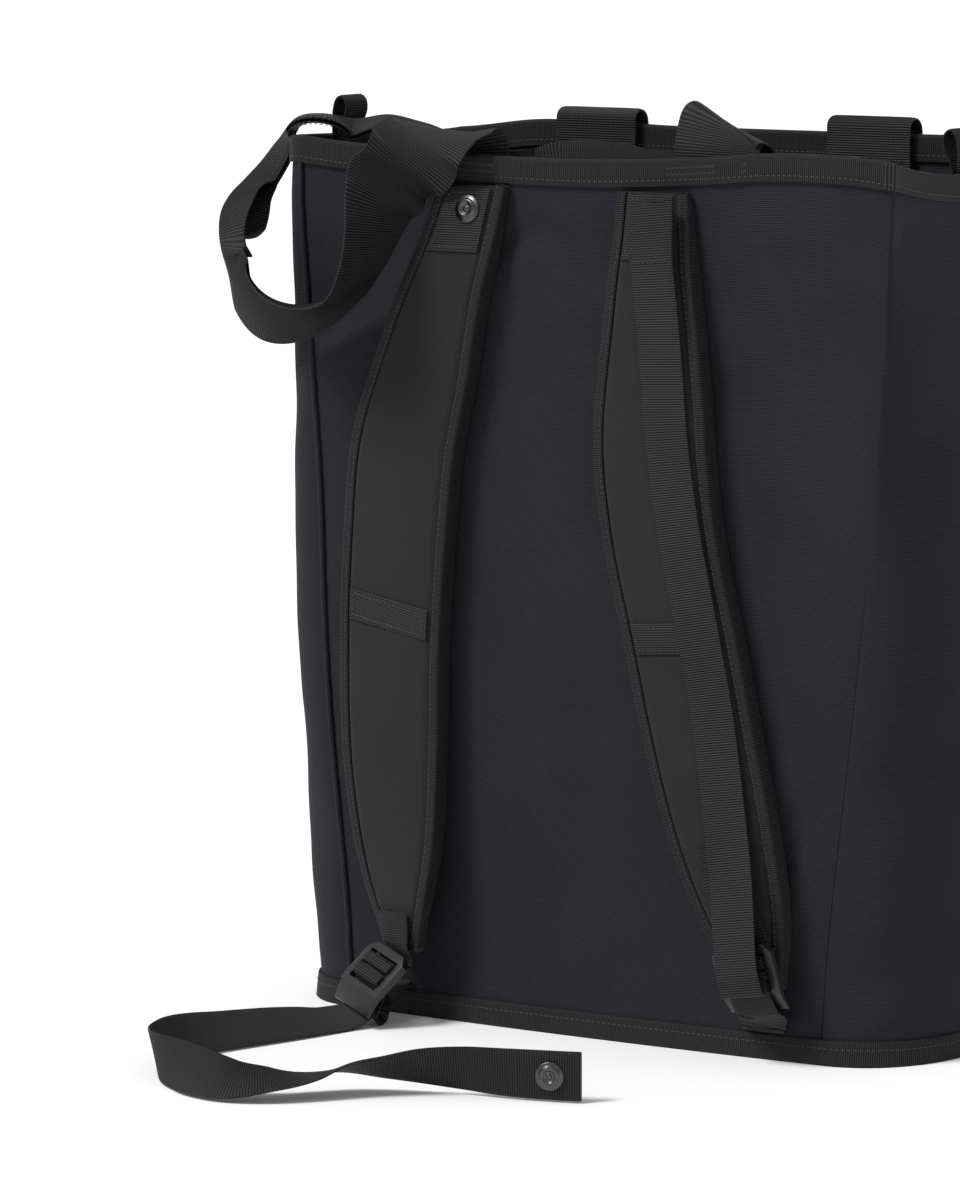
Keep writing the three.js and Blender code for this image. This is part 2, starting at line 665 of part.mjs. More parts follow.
function toSolid(geometry) {
  const bare = geometry.clone();
  bare.deleteAttribute("normal");
  bare.deleteAttribute("uv");
  const merged = mergeVertices(bare);
  return new wasm.Manifold(new wasm.Mesh({
    numProp: 3,
    vertProperties: new Float32Array(merged.attributes.position.array),
    triVerts: new Uint32Array(merged.index.array),
  }));
}

function toGeometry(solid) {
  const { vertProperties, triVerts } = solid.getMesh();
  const geometry = new THREE.BufferGeometry();
  geometry.setAttribute("position", new THREE.Float32BufferAttribute(vertProperties, 3));
  geometry.setIndex(Array.from(triVerts));
  return geometry;
}

function boxShape(left, bottom, right, top) {
  return [[left, bottom], [right, bottom], [right, top], [left, top]].map(([x, y]) => new THREE.Vector2(x, y));
}

function lockGeometry() {
  const half = lockWidth / 2;
  const window = half - lockArm;
  const corner = lockArm;
  const frame = new THREE.Shape([
    new THREE.Vector2(-half, lockBars.lip - lockBar),
    new THREE.Vector2(half, lockBars.lip - lockBar),
    new THREE.Vector2(half, lockBars.rim - corner),
    new THREE.Vector2(half - corner, lockBars.rim),
    new THREE.Vector2(corner - half, lockBars.rim),
    new THREE.Vector2(-half, lockBars.rim - corner),
  ]);
  const slots = [
    [windowTop - slotTop, windowTop],
    [lockBars.lower + lockBar / 2, lockBars.upper - lockBar / 2],
    [lockBars.lip, lockBars.lower - lockBar / 2],
  ];
  slots.forEach(([low, high]) => frame.holes.push(new THREE.Path(boxShape(-window, low, window, high).reverse())));
  const plate = new THREE.ExtrudeGeometry(frame, { depth: lockThickness, bevelEnabled: false });
  plate.translate(0, 0, -lockThickness / 2);
  const thin = lockThickness / 2;
  const tip = lockBars.lip - lipLength;
  const side = new THREE.Shape([
    new THREE.Vector2(lockBars.lip - gap, thin),
    new THREE.Vector2(lockBars.lip - lipLength * 0.5, thin - lipDrop * 0.35),
    new THREE.Vector2(tip, thin - lipDrop),
    new THREE.Vector2(tip, thin - lipDrop - 1.5),
    new THREE.Vector2(lockBars.lip - lipLength * 0.5, -thin - lipDrop * 0.2),
    new THREE.Vector2(lockBars.lip - gap, -thin),
  ]);
  const lip = new THREE.ExtrudeGeometry(side, { depth: lockWidth - 1, bevelEnabled: false });
  lip.translate(0, 0, -(lockWidth - 1) / 2);
  lip.applyMatrix4(new THREE.Matrix4().makeBasis(
    new THREE.Vector3(0, 1, 0), new THREE.Vector3(0, 0, 1), new THREE.Vector3(1, 0, 0)));
  return toGeometry(toSolid(plate).add(toSolid(lip)));
}

// Where each lock is and how it is turned. roll, tilt and swing are in degrees.
const lockPlaces = {
  left: { x: -0.577, out: 36, up: padLow - 11.8, roll: -14, tilt: -43, swing: -16 },
  right: { x: 0.66, out: 23, up: padLow + 8.7, roll: 10, tilt: 10, swing: 0 },
};

function lockFrame(side) {
  const place = lockPlaces[side];
  const x = (place.x * mouthWidth) / 2;
  const origin = new THREE.Vector3(x, backFace(x, place.up) - place.out, place.up);
  const [roll, tilt, swing] = [place.roll, place.tilt, place.swing].map(THREE.MathUtils.degToRad);
  const turn = new THREE.Euler(Math.PI / 2 + tilt, 0, swing, "ZXY");
  const matrix = new THREE.Matrix4().makeRotationFromEuler(turn);
  matrix.multiply(new THREE.Matrix4().makeRotationZ(roll));
  matrix.setPosition(origin);
  const across = new THREE.Vector3(1, 0, 0).transformDirection(matrix);
  const at = (along, out) => new THREE.Vector3(0, along, out).applyMatrix4(matrix);
  return { matrix, across, at };
}

function buildLock(side) {
  const mesh = addPiece(`ladder_lock_${side}`, lockGeometry(), materials.lockPlastic);
  mesh.applyMatrix4(lockFrame(side).matrix);
}

const webRow = (at, across, thick = webThickness, width = webWidth) => ({ at, across, width, thick });

// Places round a lock's bar, as [along, out] from its middle: past it, over its faces and round its corners
const off = gap + webThickness / 2;
const past = lockBar / 2 + off;
const over = lockThickness / 2 + off;
const round = [lockBar / 2 + off * 0.72, lockThickness / 2 + off * 0.72];

// The tab that ties a lock to its pad: down the pad's face, behind the rim and round the upper bar
const tabPlaces = { left: [0.95, 0.97, 0.99], right: [0.82, 0.845, 0.87] };

function buildTab(side) {
  const frame = lockFrame(side);
  const bar = lockBars.upper;
  const padAcross = padPoint(side, 1, 10, 0).sub(padPoint(side, 1, -10, 0)).normalize();
  const onPad = tabPlaces[side].map((down, index) => webRow(
    padPoint(side, down, 0, padPlace(side, down).thick + off + 1.3 + 0.7 * index),
    padAcross.clone().lerp(frame.across, 0.3 * index),
  ));
  const wrapped = [
    [lockBars.rim, -over - 2.5], [windowTop, -over - 1.6], [bar + 3.2, -1.6], [bar + past, 1],
    [bar + round[0], round[1]], [bar, over], [bar - round[0], round[1]], [bar - past, 1],
    [bar - past, -1.2], [bar - round[0] - 0.2, -round[1] - 0.3],
  ].map(([along, out]) => webRow(frame.at(along, out), frame.across));
  strip(`buckle_tab_${side}`, smoothStations([...onPad, ...wrapped], 2), materials.webbing);
}

function anchorRows(side, entry) {
  const x = ((side === "left" ? -1 : 1) * anchorSpacing) / 2;
  const low = baseTapeHeight + 1.5;
  const face = Math.min(...[-1, 0, 1].map((end) => backFace(x + (end * webWidth) / 2, low + 3)));
  const foot = new THREE.Vector3(x, face - off - gap, low);
  const bend = new THREE.Vector3(x, foot.y - 1.5, low + 3);
  const places = [foot, bend, bend.clone().lerp(entry, 0.3), bend.clone().lerp(entry, 0.65)];
  return places.map((place) => webRow(place, new THREE.Vector3(1, 0, 0)));
}

// The left strap: anchor, ladder lock, then loose along the floor
function buildLeftTail() {
  const { at, across } = lockFrame("left");
  const bar = lockBars.lower;
  const threaded = [
    [bar - 14, -12], [bar - 7, -8], [bar - 2, -5], [bar + 0.8, -over - 0.6], [bar + round[0] + 0.1, -round[1]],
    [bar + past + 0.1, -1.2],
    [bar + past, 1], [bar + round[0], round[1]], [bar, over], [bar - round[0], round[1]], [bar - past - 0.4, 0.8],
    [bar - past - 1.1, -1.2], [bar - 5.6, -over - 0.5], [bar - 10, -5.6], [bar - 16, -8.4],
  ].map(([along, out]) => webRow(at(along, out), across));
  const rows = [...anchorRows("left", threaded[0].at), ...threaded, ...floorRows()];
  strip("strap_tail_left", smoothStations(rows, 2), materials.webbing);
}

function floorPlace(along) {
  const { x, y } = readTable(floorTable, along);
  return new THREE.Vector2(x * floorTailSpan - anchorSpacing / 2, y * floorTailSpan - footDepth / 2);
}

function floorRows() {
  return evenShares(21).map((along) => {
    const { lean, hover } = readTable(floorTable, along);
    const ahead = floorPlace(along + 0.01).sub(floorPlace(along - 0.01));
    const [way, tip] = [ahead.angle(), THREE.MathUtils.degToRad(lean)];
    const tipped = Math.sin(tip);
    const across = new THREE.Vector3(-Math.sin(way) * tipped, Math.cos(way) * tipped, Math.cos(tip));
    const height = (webWidth / 2) * (Math.abs(Math.cos(tip)) + Math.max(hover, 0)) + webThickness / 2 + gap;
    const { x, y } = floorPlace(along);
    const doubled = (1 - along) * floorTailLength < foldedEnd;
    return webRow(new THREE.Vector3(x, y, height), across, webThickness * (doubled ? 2.1 : 1));
  });
}

// How far the right tail stands off for the two halves of its snap
const snapTop = snapHeight * 0.75;
const tailRaise = 2 * (snapTop + gap) + webThickness * 0.55 + 0.4;

// The right strap: anchor, ladder lock, a turn back up, then up the pad to its top snap
function buildRightTail() {
  const { at, across } = lockFrame("right");
  const bar = lockBars.lower;
  const threaded = [
    [bar - 22.8, -4], [bar - 19.6, -0.6], [bar - 12, 2.1], [bar - 7, over + 0.2], [bar - 5, over - 0.3],
    [bar - 3.7, 1],
    [bar - past, -1.2], [bar - round[0], -round[1]], [bar, -over], [bar + round[0], -round[1]],
    [bar + past, -1], [bar + past, 1], [bar + round[0], round[1]], [bar - 0.3, over + 0.2],
    [bar - 4.5, 5.2], [bar - 7.5, 7], [bar - 6.5, 9], [bar - 2, 9.6], [bar + 6, 9.4],
  ].map(([along, out]) => webRow(at(along, out), across));
  const padRows = evenShares(12, 0.85, 0.012).map((down) => {
    const { middle, raised } = readTable(tailOnPad, down);
    const pad = padPlace("right", down);
    const thick = down * padLength < foldedEnd ? webThickness * 2.1 : webThickness;
    const level = pad.thick + patchThickness + 2 * gap + off + raised * tailRaise;
    const x = (middle * mouthWidth) / 2;
    const place = new THREE.Vector3(x, backFace(x, pad.z) - pad.outAt(x) - level, pad.z);
    return webRow(place, new THREE.Vector3(1, 0, 0.1), thick);
  });
  const rows = [...anchorRows("right", threaded[0].at), ...threaded, ...padRows];
  strip("strap_tail_right", smoothStations(rows, 2), materials.webbing);
}

// Snaps: turned discs with a raised ring and a stud
function snapGeometry(studOut) {
  const radius = snapDiameter / 2;
  const profile = [
    [0, 0], [radius, 0], [radius, 0.5], [radius * 0.72, 1.0], [radius * 0.62, snapTop],
    [radius * 0.42, snapTop], [radius * 0.36, 0.9], [radius * 0.2, 0.9],
    [radius * 0.17, snapHeight * studOut], [0, snapHeight * studOut],
  ].map(([r, h]) => new THREE.Vector2(r, h));
  return new THREE.LatheGeometry(profile, 10);
}

function placeSnap(name, at, out) {
  const mesh = addPiece(name, toGeometry(toSolid(snapGeometry(0.7))), materials.snapMetal);
  mesh.position.copy(at);
  mesh.quaternion.setFromUnitVectors(new THREE.Vector3(0, 1, 0), out);
}

// A pad's snap on its patch, and the place and direction above it
function padSnap(side, x, down) {
  const acrossAt = (place) => (x * mouthWidth) / 2 - padPlace(side, place).middle;
  const surface = (place, offset) => padPoint(side, place, acrossAt(place) + offset, padPlace(side, place).thick);
  const way = surface(down + 0.015, 0).sub(surface(down - 0.015, 0));
  const sideways = surface(down, 5).sub(surface(down, -5));
  const out = new THREE.Vector3().crossVectors(way, sideways).normalize();
  const lifted = (distance) => surface(down, 0).addScaledVector(out, distance);
  const foot = patchThickness + 2 * gap + 0.25;
  placeSnap(`pad_snap_${side}`, lifted(foot), out);
  return { out, top: lifted(foot + 2 * snapTop + gap) };
}

// Handles
function buildBackHandle() {
  const rows = backHandleTable.map((row) => ({
    at: new THREE.Vector3(
      (row.x * mouthWidth) / 2,
      (row.y * mouthDepth) / 2,
      bodyHeight + row.z * handleWidth,
    ),
    across: new THREE.Vector3(row.i, row.j, row.k).normalize(),
    width: handleWidth,
    thick: handleThickness,
    fold: row.fold,
  }));
  strip("handle_back", smoothStations(rows, 2), materials.webbing);
}

function buildFrontHandle() {
  const rows = [];
  const middle = (seams(1).left + seams(1).right) / 2 - handleWidth * 0.09;
  const outward = mouthDepth / 2 + seams(1).row.bulge * panelBulge + tapeThickness + 3 * gap + handleThickness / 2;
  const inward = mouthDepth / 2 - wall - tapeThickness - 2 * gap - handleThickness;
  const row = (x, y, z, across, fold) => ({
    at: new THREE.Vector3(x, y, z),
    across: across.normalize(),
    width: handleWidth * (1 - fold / 2),
    thick: handleThickness * (1 + 1.1 * fold),
  });
  const leg = (sign) => {
    const x = middle + (sign * handleSpacing) / 2;
    const level = bodyHeight + mouthWave * 0.6;
    const across = () => new THREE.Vector3(-1, 0, 0);
    return [
      row(x, inward, level - handleRoot, across(), 0),
      row(x, inward, level - 4, across(), 0),
      row(x, inward + 0.5, level + handleCrest * 0.6, across(), 0),
      row(x, (inward + outward) / 2, level + handleCrest, across(), 0),
      row(x, outward - 0.5, level + handleCrest * 0.5, across(), 0),
      row(x, outward, level - mouthTapeHeight - 4, across(), 0),
    ];
  };
  rows.push(...leg(1));
  const turns = 6;
  const radius = handleSpacing / 2;
  const bend = bodyHeight - handleHang;
  const swing = handleWidth * 0.34;
  rows.push(row(middle + radius, outward + 0.5, bend + handleHang * 0.5, new THREE.Vector3(-1, 0, 0), 0.1));
  for (let step = 0; step <= turns; step++) {
    const angle = (Math.PI * step) / turns;
    const x = middle + radius * Math.cos(angle);
    const z = bend - radius * Math.sin(angle);
    const open = Math.sin(angle);
    const across = new THREE.Vector3(-(1 - open), open, 0);
    rows.push(row(x, outward + 1 + swing * open, z, across, 0.4 + 0.6 * open));
  }
  rows.push(row(middle - radius, outward + 0.5, bend + handleHang * 0.5, new THREE.Vector3(-1, 0, 0), 0.1));
  rows.push(...leg(-1).reverse());
  strip("handle_front", smoothStations(rows, 2), materials.webbing);
}

// Side loops: a short tape folded over, standing on each gusset's mouth
function buildSideLoop(side) {
  const right = side === "right";
  const { left: leftSeam, right: rightSeam, row } = seams(1);
  const reach = endReach * (right ? row.rightReach : row.leftReach);
  const x = right ? rightSeam + reach : leftSeam - reach;
  const inwards = right ? -1 : 1;
  const base = x + inwards * (wall + tapeThickness + 8 * gap + loopThickness / 2);
  const y = (loopPlace[side] * mouthDepth) / 2;
  const level = bodyHeight + mouthRise(right ? 1.6 : 3.6);
  const rows = [
    [0, -mouthTapeHeight], [0, 2], [0, loopHeight * 0.5], [2, loopHeight * 0.9], [5, loopHeight],
    [8, loopHeight * 0.88], [8.5, loopHeight * 0.6], [5, loopHeight * 0.2], [3, -2], [2.4, -mouthTapeHeight],
  ].map(([out, up]) => {
    const at = new THREE.Vector3(base + inwards * out, y, level + up);
    return webRow(at, new THREE.Vector3(0, 1, 0), loopThickness, loopWidth);
  });
  strip(`side_loop_${side}`, smoothStations(rows, 2), materials.webbing);
}

buildBody();
buildMouthTape();
buildBaseTape();
const bandHalf = bandHeight / 2 / padLength;
const bandSkew = { left: 0.154, right: -0.077 };
for (const side of ["left", "right"]) {
  buildPad(side);
  buildPadTape(side);
  buildPadPlate(`pad_patch_${side}`, side, 0.003, patchLength / padLength, 0, materials.webbing);
  const [from, to] = [bandPlace - bandHalf, bandPlace + bandHalf];
  buildPadPlate(`cross_band_${side}`, side, from, to, bandSkew[side], materials.webbing);
  buildLock(side);
  buildTab(side);
  buildSideLoop(side);
}
buildLeftTail();
buildRightTail();
buildBackHandle();
buildFrontHandle();

padSnap("left", -0.29, 0.03);
const engaged = padSnap("right", 0.362, 0.045);
placeSnap("tail_snap_right", engaged.top, engaged.out.negate());

// The loose tail's snap, on the face of its folded end
const snapAlong = 1 - (foldedEnd * 0.4) / floorTailLength;
const end = floorPlace(snapAlong);
const ahead = floorPlace(snapAlong + 0.01).sub(floorPlace(snapAlong - 0.01)).normalize();
const facing = new THREE.Vector3(ahead.y, -ahead.x, 0);
const endPlace = new THREE.Vector3(end.x, end.y, (webWidth + webThickness) / 2 + gap);
placeSnap("tail_snap_left", endPlace.addScaledVector(facing, webThickness * 1.05 + 2 * gap + 0.4), facing);

export default bag;
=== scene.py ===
import math
import bmesh
import bpy
import numpy as np
from mathutils import Matrix, Vector


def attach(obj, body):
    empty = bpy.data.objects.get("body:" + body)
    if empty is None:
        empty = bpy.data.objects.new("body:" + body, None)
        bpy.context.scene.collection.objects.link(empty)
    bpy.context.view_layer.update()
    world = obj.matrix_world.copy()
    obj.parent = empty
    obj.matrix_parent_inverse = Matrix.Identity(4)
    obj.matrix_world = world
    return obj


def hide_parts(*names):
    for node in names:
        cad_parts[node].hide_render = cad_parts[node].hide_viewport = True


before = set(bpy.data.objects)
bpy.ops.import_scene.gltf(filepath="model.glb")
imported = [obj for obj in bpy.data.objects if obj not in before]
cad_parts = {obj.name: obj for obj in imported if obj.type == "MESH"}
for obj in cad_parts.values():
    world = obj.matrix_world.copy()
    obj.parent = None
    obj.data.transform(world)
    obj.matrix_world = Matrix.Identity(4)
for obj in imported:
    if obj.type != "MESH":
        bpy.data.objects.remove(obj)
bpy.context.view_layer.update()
print("frame loaded:", len(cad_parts), "nodes")

mm = 0.001  # shapes are worked out in millimetres and made in metres

# Sizes and tables of shares, as in the solids
body = {"height": 462, "footWidth": 292, "footDepth": 124, "endReach": 48, "mouthWidth": 360,
        "mouthDepth": 152,
        "bulge": 6, "mouthWave": 10, "wall": 2, "baseThickness": 3, "gap": 0.3}
tape = {"thick": 1.5, "mouthHeight": 14, "baseHeight": 13, "baseFlare": 2.2}
pad = {"length": 404.019, "width": 70, "thick": 12, "tape": 1.2, "leg": 6, "patchLength": 34,
       "patchThick": 1.2,
       "bandHeight": 16, "bandPlace": 0.56, "bandSkew": {"left": 0.154, "right": -0.077}, "crown": 1.1}
web = {"width": 25, "thick": 1.5, "anchorSpacing": 230, "floorSpan": 230, "foldedEnd": 37}
lock = {"bar": 3, "arm": 4.5, "thick": 4, "slotTop": 3.5, "slotMiddle": 5, "slotLow": 4.5}
snap = {"diameter": 14.4, "height": 2.4}
handle = {"width": 50, "thick": 1.8, "spacing": 169, "hang": 176, "root": 24, "crest": 7}
loop = {"width": 20, "height": 20, "thick": 1.5, "place": {"left": -0.2, "right": 0.24}}


def makeTable(columns, rows):
    return {"columns": columns.split(), "rows": np.array(rows, float)}


def readTable(table, value):
    rows, value = table["rows"], np.asarray(value, float)
    keys = rows[:, 0]
    row = np.clip(np.searchsorted(keys, value) - 1, 0, len(keys) - 2)
    start, stop = rows[row], rows[row + 1]
    before, after = rows[np.maximum(row - 1, 0)], rows[np.minimum(row + 2, len(keys) - 1)]
    span = stop[..., :1] - start[..., :1]
    share = np.clip((value[..., None] - start[..., :1]) / span, 0, 1)
    startSlope = (stop - before) / (stop[..., :1] - before[..., :1]) * span
    endSlope = (after - start) / (after[..., :1] - start[..., :1]) * span
    got = ((2 * share**3 - 3 * share**2 + 1) * start + (share**3 - 2 * share**2 + share) * startSlope
           + (3 * share**2 - 2 * share**3) * stop + (share**3 - share**2) * endSlope)
    return {name: got[..., index] for index, name in enumerate(table["columns"])}


bodyTable = makeTable("up left right leftReach rightReach square bulge", [
    (0.0, -0.04, 0.0, 0.88, 1.0, 0.0, 0.7), (0.13, 0.02, 0.15, 1.0, 1.05, 0.0, 0.9),
    (0.36, 0.28, 0.56, 0.9, 0.84, 0.08, 1.0), (0.6, 0.36, 0.97, 0.88, 0.52, 0.25, 1.0),
    (0.8, 0.5, 1.24, 0.66, 0.2, 0.42, 0.8), (0.92, 0.6, 1.35, 0.53, 0.0, 0.5, 0.6),
    (1.0, 0.58, 1.4, 0.46, -0.1, 0.5, 0.5)])
mouthTable = makeTable("around rise", [
    (0.0, 0.3), (0.08, 0.05), (0.28, -0.3), (0.5, -0.4), (0.68, -0.1), (0.8, 0.25), (0.92, 0.25),
    (1.0, 0.0),
    (1.25, -0.6), (1.5, -0.95), (1.75, -0.4), (2.0, 0.45), (2.3, 0.5), (2.6, 0.5), (2.85, 0.65),
    (3.0, 0.1),
    (3.3, -0.1), (3.6, 0.1), (3.85, 0.25), (4.0, 0.3)])
padTables = {
    "left": makeTable("down middle lift turn", [
        (0.0, -0.292, 0.1, 0), (0.08, -0.335, 0.12, 0), (0.16, -0.4, 0.15, 0), (0.24, -0.455, 0.18, 0),
        (0.34, -0.52, 0.2, 0), (0.45, -0.55, 0.2, 0.02), (0.6, -0.575, 0.2, 0.04),
        (0.75, -0.58, 0.2, 0.06),
        (0.86, -0.565, 0.25, 0.14), (0.94, -0.55, 0.4, 0.28), (1.0, -0.54, 0.6, 0.36)]),
    "right": makeTable("down middle lift turn", [
        (0.0, 0.318, 0.1, 0), (0.08, 0.33, 0.12, 0), (0.16, 0.332, 0.15, 0), (0.25, 0.33, 0.18, 0),
        (0.34, 0.333, 0.2, 0), (0.45, 0.365, 0.2, 0), (0.56, 0.42, 0.2, 0), (0.68, 0.475, 0.2, 0),
        (0.8, 0.537, 0.22, 0), (0.92, 0.607, 0.3, 0), (1.0, 0.65, 0.4, 0)]),
}
padShape = makeTable("down wide thick", [
    (0.0, 0.6, 0.45), (0.05, 0.64, 0.75), (0.1, 0.7, 1.0), (0.2, 0.84, 1.0), (0.3, 0.95, 1.0),
    (0.45, 0.97, 1.0),
    (0.6, 0.96, 1.0), (0.75, 0.93, 1.0), (0.86, 0.83, 0.98), (0.93, 0.67, 0.85), (0.98, 0.48, 0.68),
    (1.0, 0.4, 0.6)])
tailOnPad = makeTable("down middle raised", [
    (0.0, 0.35, 1.0), (0.08, 0.368, 1.0), (0.18, 0.384, 0.3), (0.28, 0.395, 0.0), (0.4, 0.43, 0.0),
    (0.52, 0.482, 0.0), (0.65, 0.538, 0.0), (0.75, 0.572, 0.3), (0.85, 0.612, 1.2)])
floorTable = makeTable("along x y lean hover", [
    (0.0, 0.006, -0.252, -70, 0), (0.095, -0.03, -0.417, -57, 0), (0.188, -0.07, -0.578, -48, 0),
    (0.243, -0.083, -0.676, -39, 0), (0.318, -0.061, -0.809, -25, 0), (0.413, 0.013, -0.961, -12, 0),
    (0.475, 0.109, -1.017, 12, 0), (0.531, 0.204, -1.043, 36, 0.05), (0.588, 0.304, -1.03, 60, 0.2),
    (0.643, 0.378, -0.965, 82, 0.65), (0.697, 0.435, -0.887, 104, 0.75),
    (0.749, 0.504, -0.826, 122, 0.5),
    (0.81, 0.596, -0.77, 145, 0.28), (0.873, 0.7, -0.726, 163, 0.1), (0.918, 0.778, -0.709, 172, 0.03),
    (1.0, 0.928, -0.657, 178, 0)])
# The back handle's stations: x, y, z, the way across (i, j, k) and how far it is folded double
handleStations = [
    (-0.36, -0.9, -0.3, 1, 0, 0, 0), (-0.364, -0.9, 0, 1, 0, 0, 0),
    (-0.373, -0.94, 0.12, 1, 0.03, -0.04, 0), (-0.39, -1.1, 0.15, 0.98, 0.15, -0.08, 0),
    (-0.413, -1.26, 0.05, 0.92, 0.35, -0.08, 0), (-0.445, -1.35, -0.15, 0.78, 0.6, -0.08, 0),
    (-0.494, -1.388, -0.32, 0.5, 0.86, -0.1, 0), (-0.505, -1.47, -0.569, 0.25, 0.96, -0.12, 0),
    (-0.516, -1.498, -0.816, 0.05, 0.99, -0.11, 0), (-0.559, -1.509, -1.26, -0.14, 0.99, -0.07, 0),
    (-0.612, -1.494, -1.492, -0.19, 0.98, 0.04, 0), (-0.81, -1.371, -1.72, -0.45, 0.85, -0.29, 0),
    (-1.022, -1.207, -1.711, -0.59, 0.59, -0.55, 0), (-1.116, -1.144, -1.497, -0.6, 0.56, -0.57, 0.06),
    (-1.157, -1.12, -1.296, -0.61, 0.65, -0.46, 0.2), (-1.165, -1.158, -1.067, -0.45, 0.8, -0.38, 0.4),
    (-1.178, -1.105, -0.818, -0.25, 0.8, -0.5, 0.66), (-1.188, -0.967, -0.644, 0.09, 0.58, -0.81, 0.88),
    (-1.186, -0.804, -0.494, 0.14, 0.55, -0.82, 1), (-1.169, -0.648, -0.305, 0.28, 0.63, -0.73, 1),
    (-1.138, -0.521, -0.057, 0.43, 0.64, -0.64, 1), (-1.087, -0.468, 0.166, 0.35, 0.44, -0.83, 1),
    (-1.014, -0.434, 0.201, -0.02, 0, -1, 1), (-0.938, -0.289, 0.153, -0.14, 0.27, -0.95, 1),
    (-0.835, -0.211, 0.201, -0.06, 0.25, -0.97, 1), (-0.749, -0.184, 0.149, -0.19, 0.26, -0.95, 1),
    (-0.657, -0.197, 0.075, -0.25, 0.33, -0.91, 1), (-0.575, -0.237, -0.051, -0.5, 0.35, -0.79, 1),
    (-0.511, -0.263, -0.3, -0.34, 0.1, -0.93, 0.75), (-0.389, -0.316, -0.52, -0.15, -0.05, -0.99, 0.35),
    (-0.278, -0.349, -0.56, 0, -0.1, -1, 0.08), (-0.18, -0.36, -0.46, 0, -0.12, -1, 0),
    (-0.02, -0.4, -0.45, 0, -0.1, -1, 0), (0.15, -0.45, -0.52, 0.1, -0.05, -1, 0),
    (0.33, -0.5, -0.43, 0.4, -0.05, -0.9, 0), (0.45, -0.58, -0.1, 0.75, -0.05, -0.65, 0),
    (0.5, -0.7, 0.2, 0.85, 0, -0.45, 0), (0.49, -0.84, 0.3, 0.9, 0, -0.4, 0),
    (0.48, -0.9, 0.1, 1, 0, -0.12, 0), (0.48, -0.9, -0.3, 1, 0, 0, 0)]


def unit(vectors):
    vectors = np.asarray(vectors, float)
    return vectors / np.maximum(np.linalg.norm(vectors, axis=-1, keepdims=True), 1e-9)


def smoothStep(value, low, high):
    share = np.clip((np.asarray(value, float) - low) / (high - low), 0, 1)
    return share * share * (3 - 2 * share)


# Materials: the cloths read their own UV map, which is in metres
def addNode(material, kind, inputs=(), **settings):
    node = material.node_tree.nodes.new(kind)
    for key, value in settings.items():
        setattr(node, key, value)
    for index, value in enumerate(inputs):
        if value is None:
            continue
        if isinstance(value, bpy.types.NodeSocket):
            material.node_tree.links.new(value, node.inputs[index])
        else:
            node.inputs[index].default_value = value
    return node.outputs[0]


def math2(material, operation, first, second=0.0, third=0.0):
    return addNode(material, "ShaderNodeMath", (first, second, third), operation=operation)


def ribs(material, place, pitch):  # 0 in the grooves, 1 on the ribs
    wave = math2(material, "SINE", math2(material, "MULTIPLY", place, 2 * math.pi / (pitch * mm)))
    return math2(material, "MULTIPLY_ADD", wave, 0.5, 0.5)


def newMaterial(name, roughness, metallic=0.0, specular=0.5, sheen=0.0):
    material = bpy.data.materials.new(name)
    material.use_nodes = True
    shader = material.node_tree.nodes["Principled BSDF"]
    shader.inputs["Roughness"].default_value = roughness
    shader.inputs["Metallic"].default_value = metallic
    shader.inputs["Specular IOR Level"].default_value = specular
    shader.inputs["Sheen Weight"].default_value = sheen
    shader.inputs["Sheen Roughness"].default_value = 0.5
    return material, shader


def mixColours(material, factor, dark, light):
    mix = material.node_tree.nodes.new("ShaderNodeMix")
    mix.data_type = "RGBA"
    material.node_tree.links.new(factor, mix.inputs["Factor"])
    for socket, colour in ((mix.inputs[6], dark), (mix.inputs[7], light)):
        if isinstance(colour, bpy.types.NodeSocket):
            material.node_tree.links.new(colour, socket)
        else:
            socket.default_value = (*colour, 1)
    return mix.outputs[2]


def addBump(material, shader, height, distance, strength=1.0):
    bump = material.node_tree.nodes.new("ShaderNodeBump")
    bump.inputs["Distance"].default_value = distance * mm
    bump.inputs["Strength"].default_value = strength
    material.node_tree.links.new(height, bump.inputs["Height"])
    material.node_tree.links.new(bump.outputs["Normal"], shader.inputs["Normal"])


def wovenMaterial(name, look):
    material, shader = newMaterial(name, look["roughness"], specular=look["specular"],
                                   sheen=look["sheen"])
    uv = addNode(material, "ShaderNodeUVMap", uv_map="weave")
    split = material.node_tree.nodes.new("ShaderNodeSeparateXYZ")
    material.node_tree.links.new(uv, split.inputs[0])
    across, along = split.outputs[0], split.outputs[1]
    weft = ribs(material, along, look["weft"])
    slanted = math2(material, "MULTIPLY_ADD", across, look["slant"], along)
    warp = ribs(material, math2(material, "MULTIPLY_ADD", along, look["slant"], across), look["warp"])
    twill = ribs(material, slanted, look["twill"])
    height = math2(material, "MULTIPLY_ADD", weft, look["weftShare"],
                   math2(material, "MULTIPLY_ADD", warp, look["warpShare"],
                         math2(material, "MULTIPLY", twill, look["twillShare"])))
    place = material.node_tree.nodes.new("ShaderNodeTexCoord").outputs["Object"]
    slub = addNode(material, "ShaderNodeTexNoise", (place, None, 900.0, 3.0, 0.6))
    patchy = addNode(material, "ShaderNodeTexNoise", (place, None, 14.0, 2.0, 0.5))
    height = math2(material, "MULTIPLY_ADD", slub, look["slub"], height)
    ground = mixColours(material, patchy, look["dark"], look["light"])
    # Painted shade: where the weave's height is low, between the ribs, the colour goes towards this darker
    # copy of the dark ground colour
    paintedGrooveShadeColour = tuple(channel * look["paintedGrooveShade"] for channel in look["dark"])
    colour = mixColours(material, math2(material, "MINIMUM", height, 1.0), paintedGrooveShadeColour, ground)
    material.node_tree.links.new(colour, shader.inputs["Base Color"])
    addBump(material, shader, height, look["depth"])
    return material


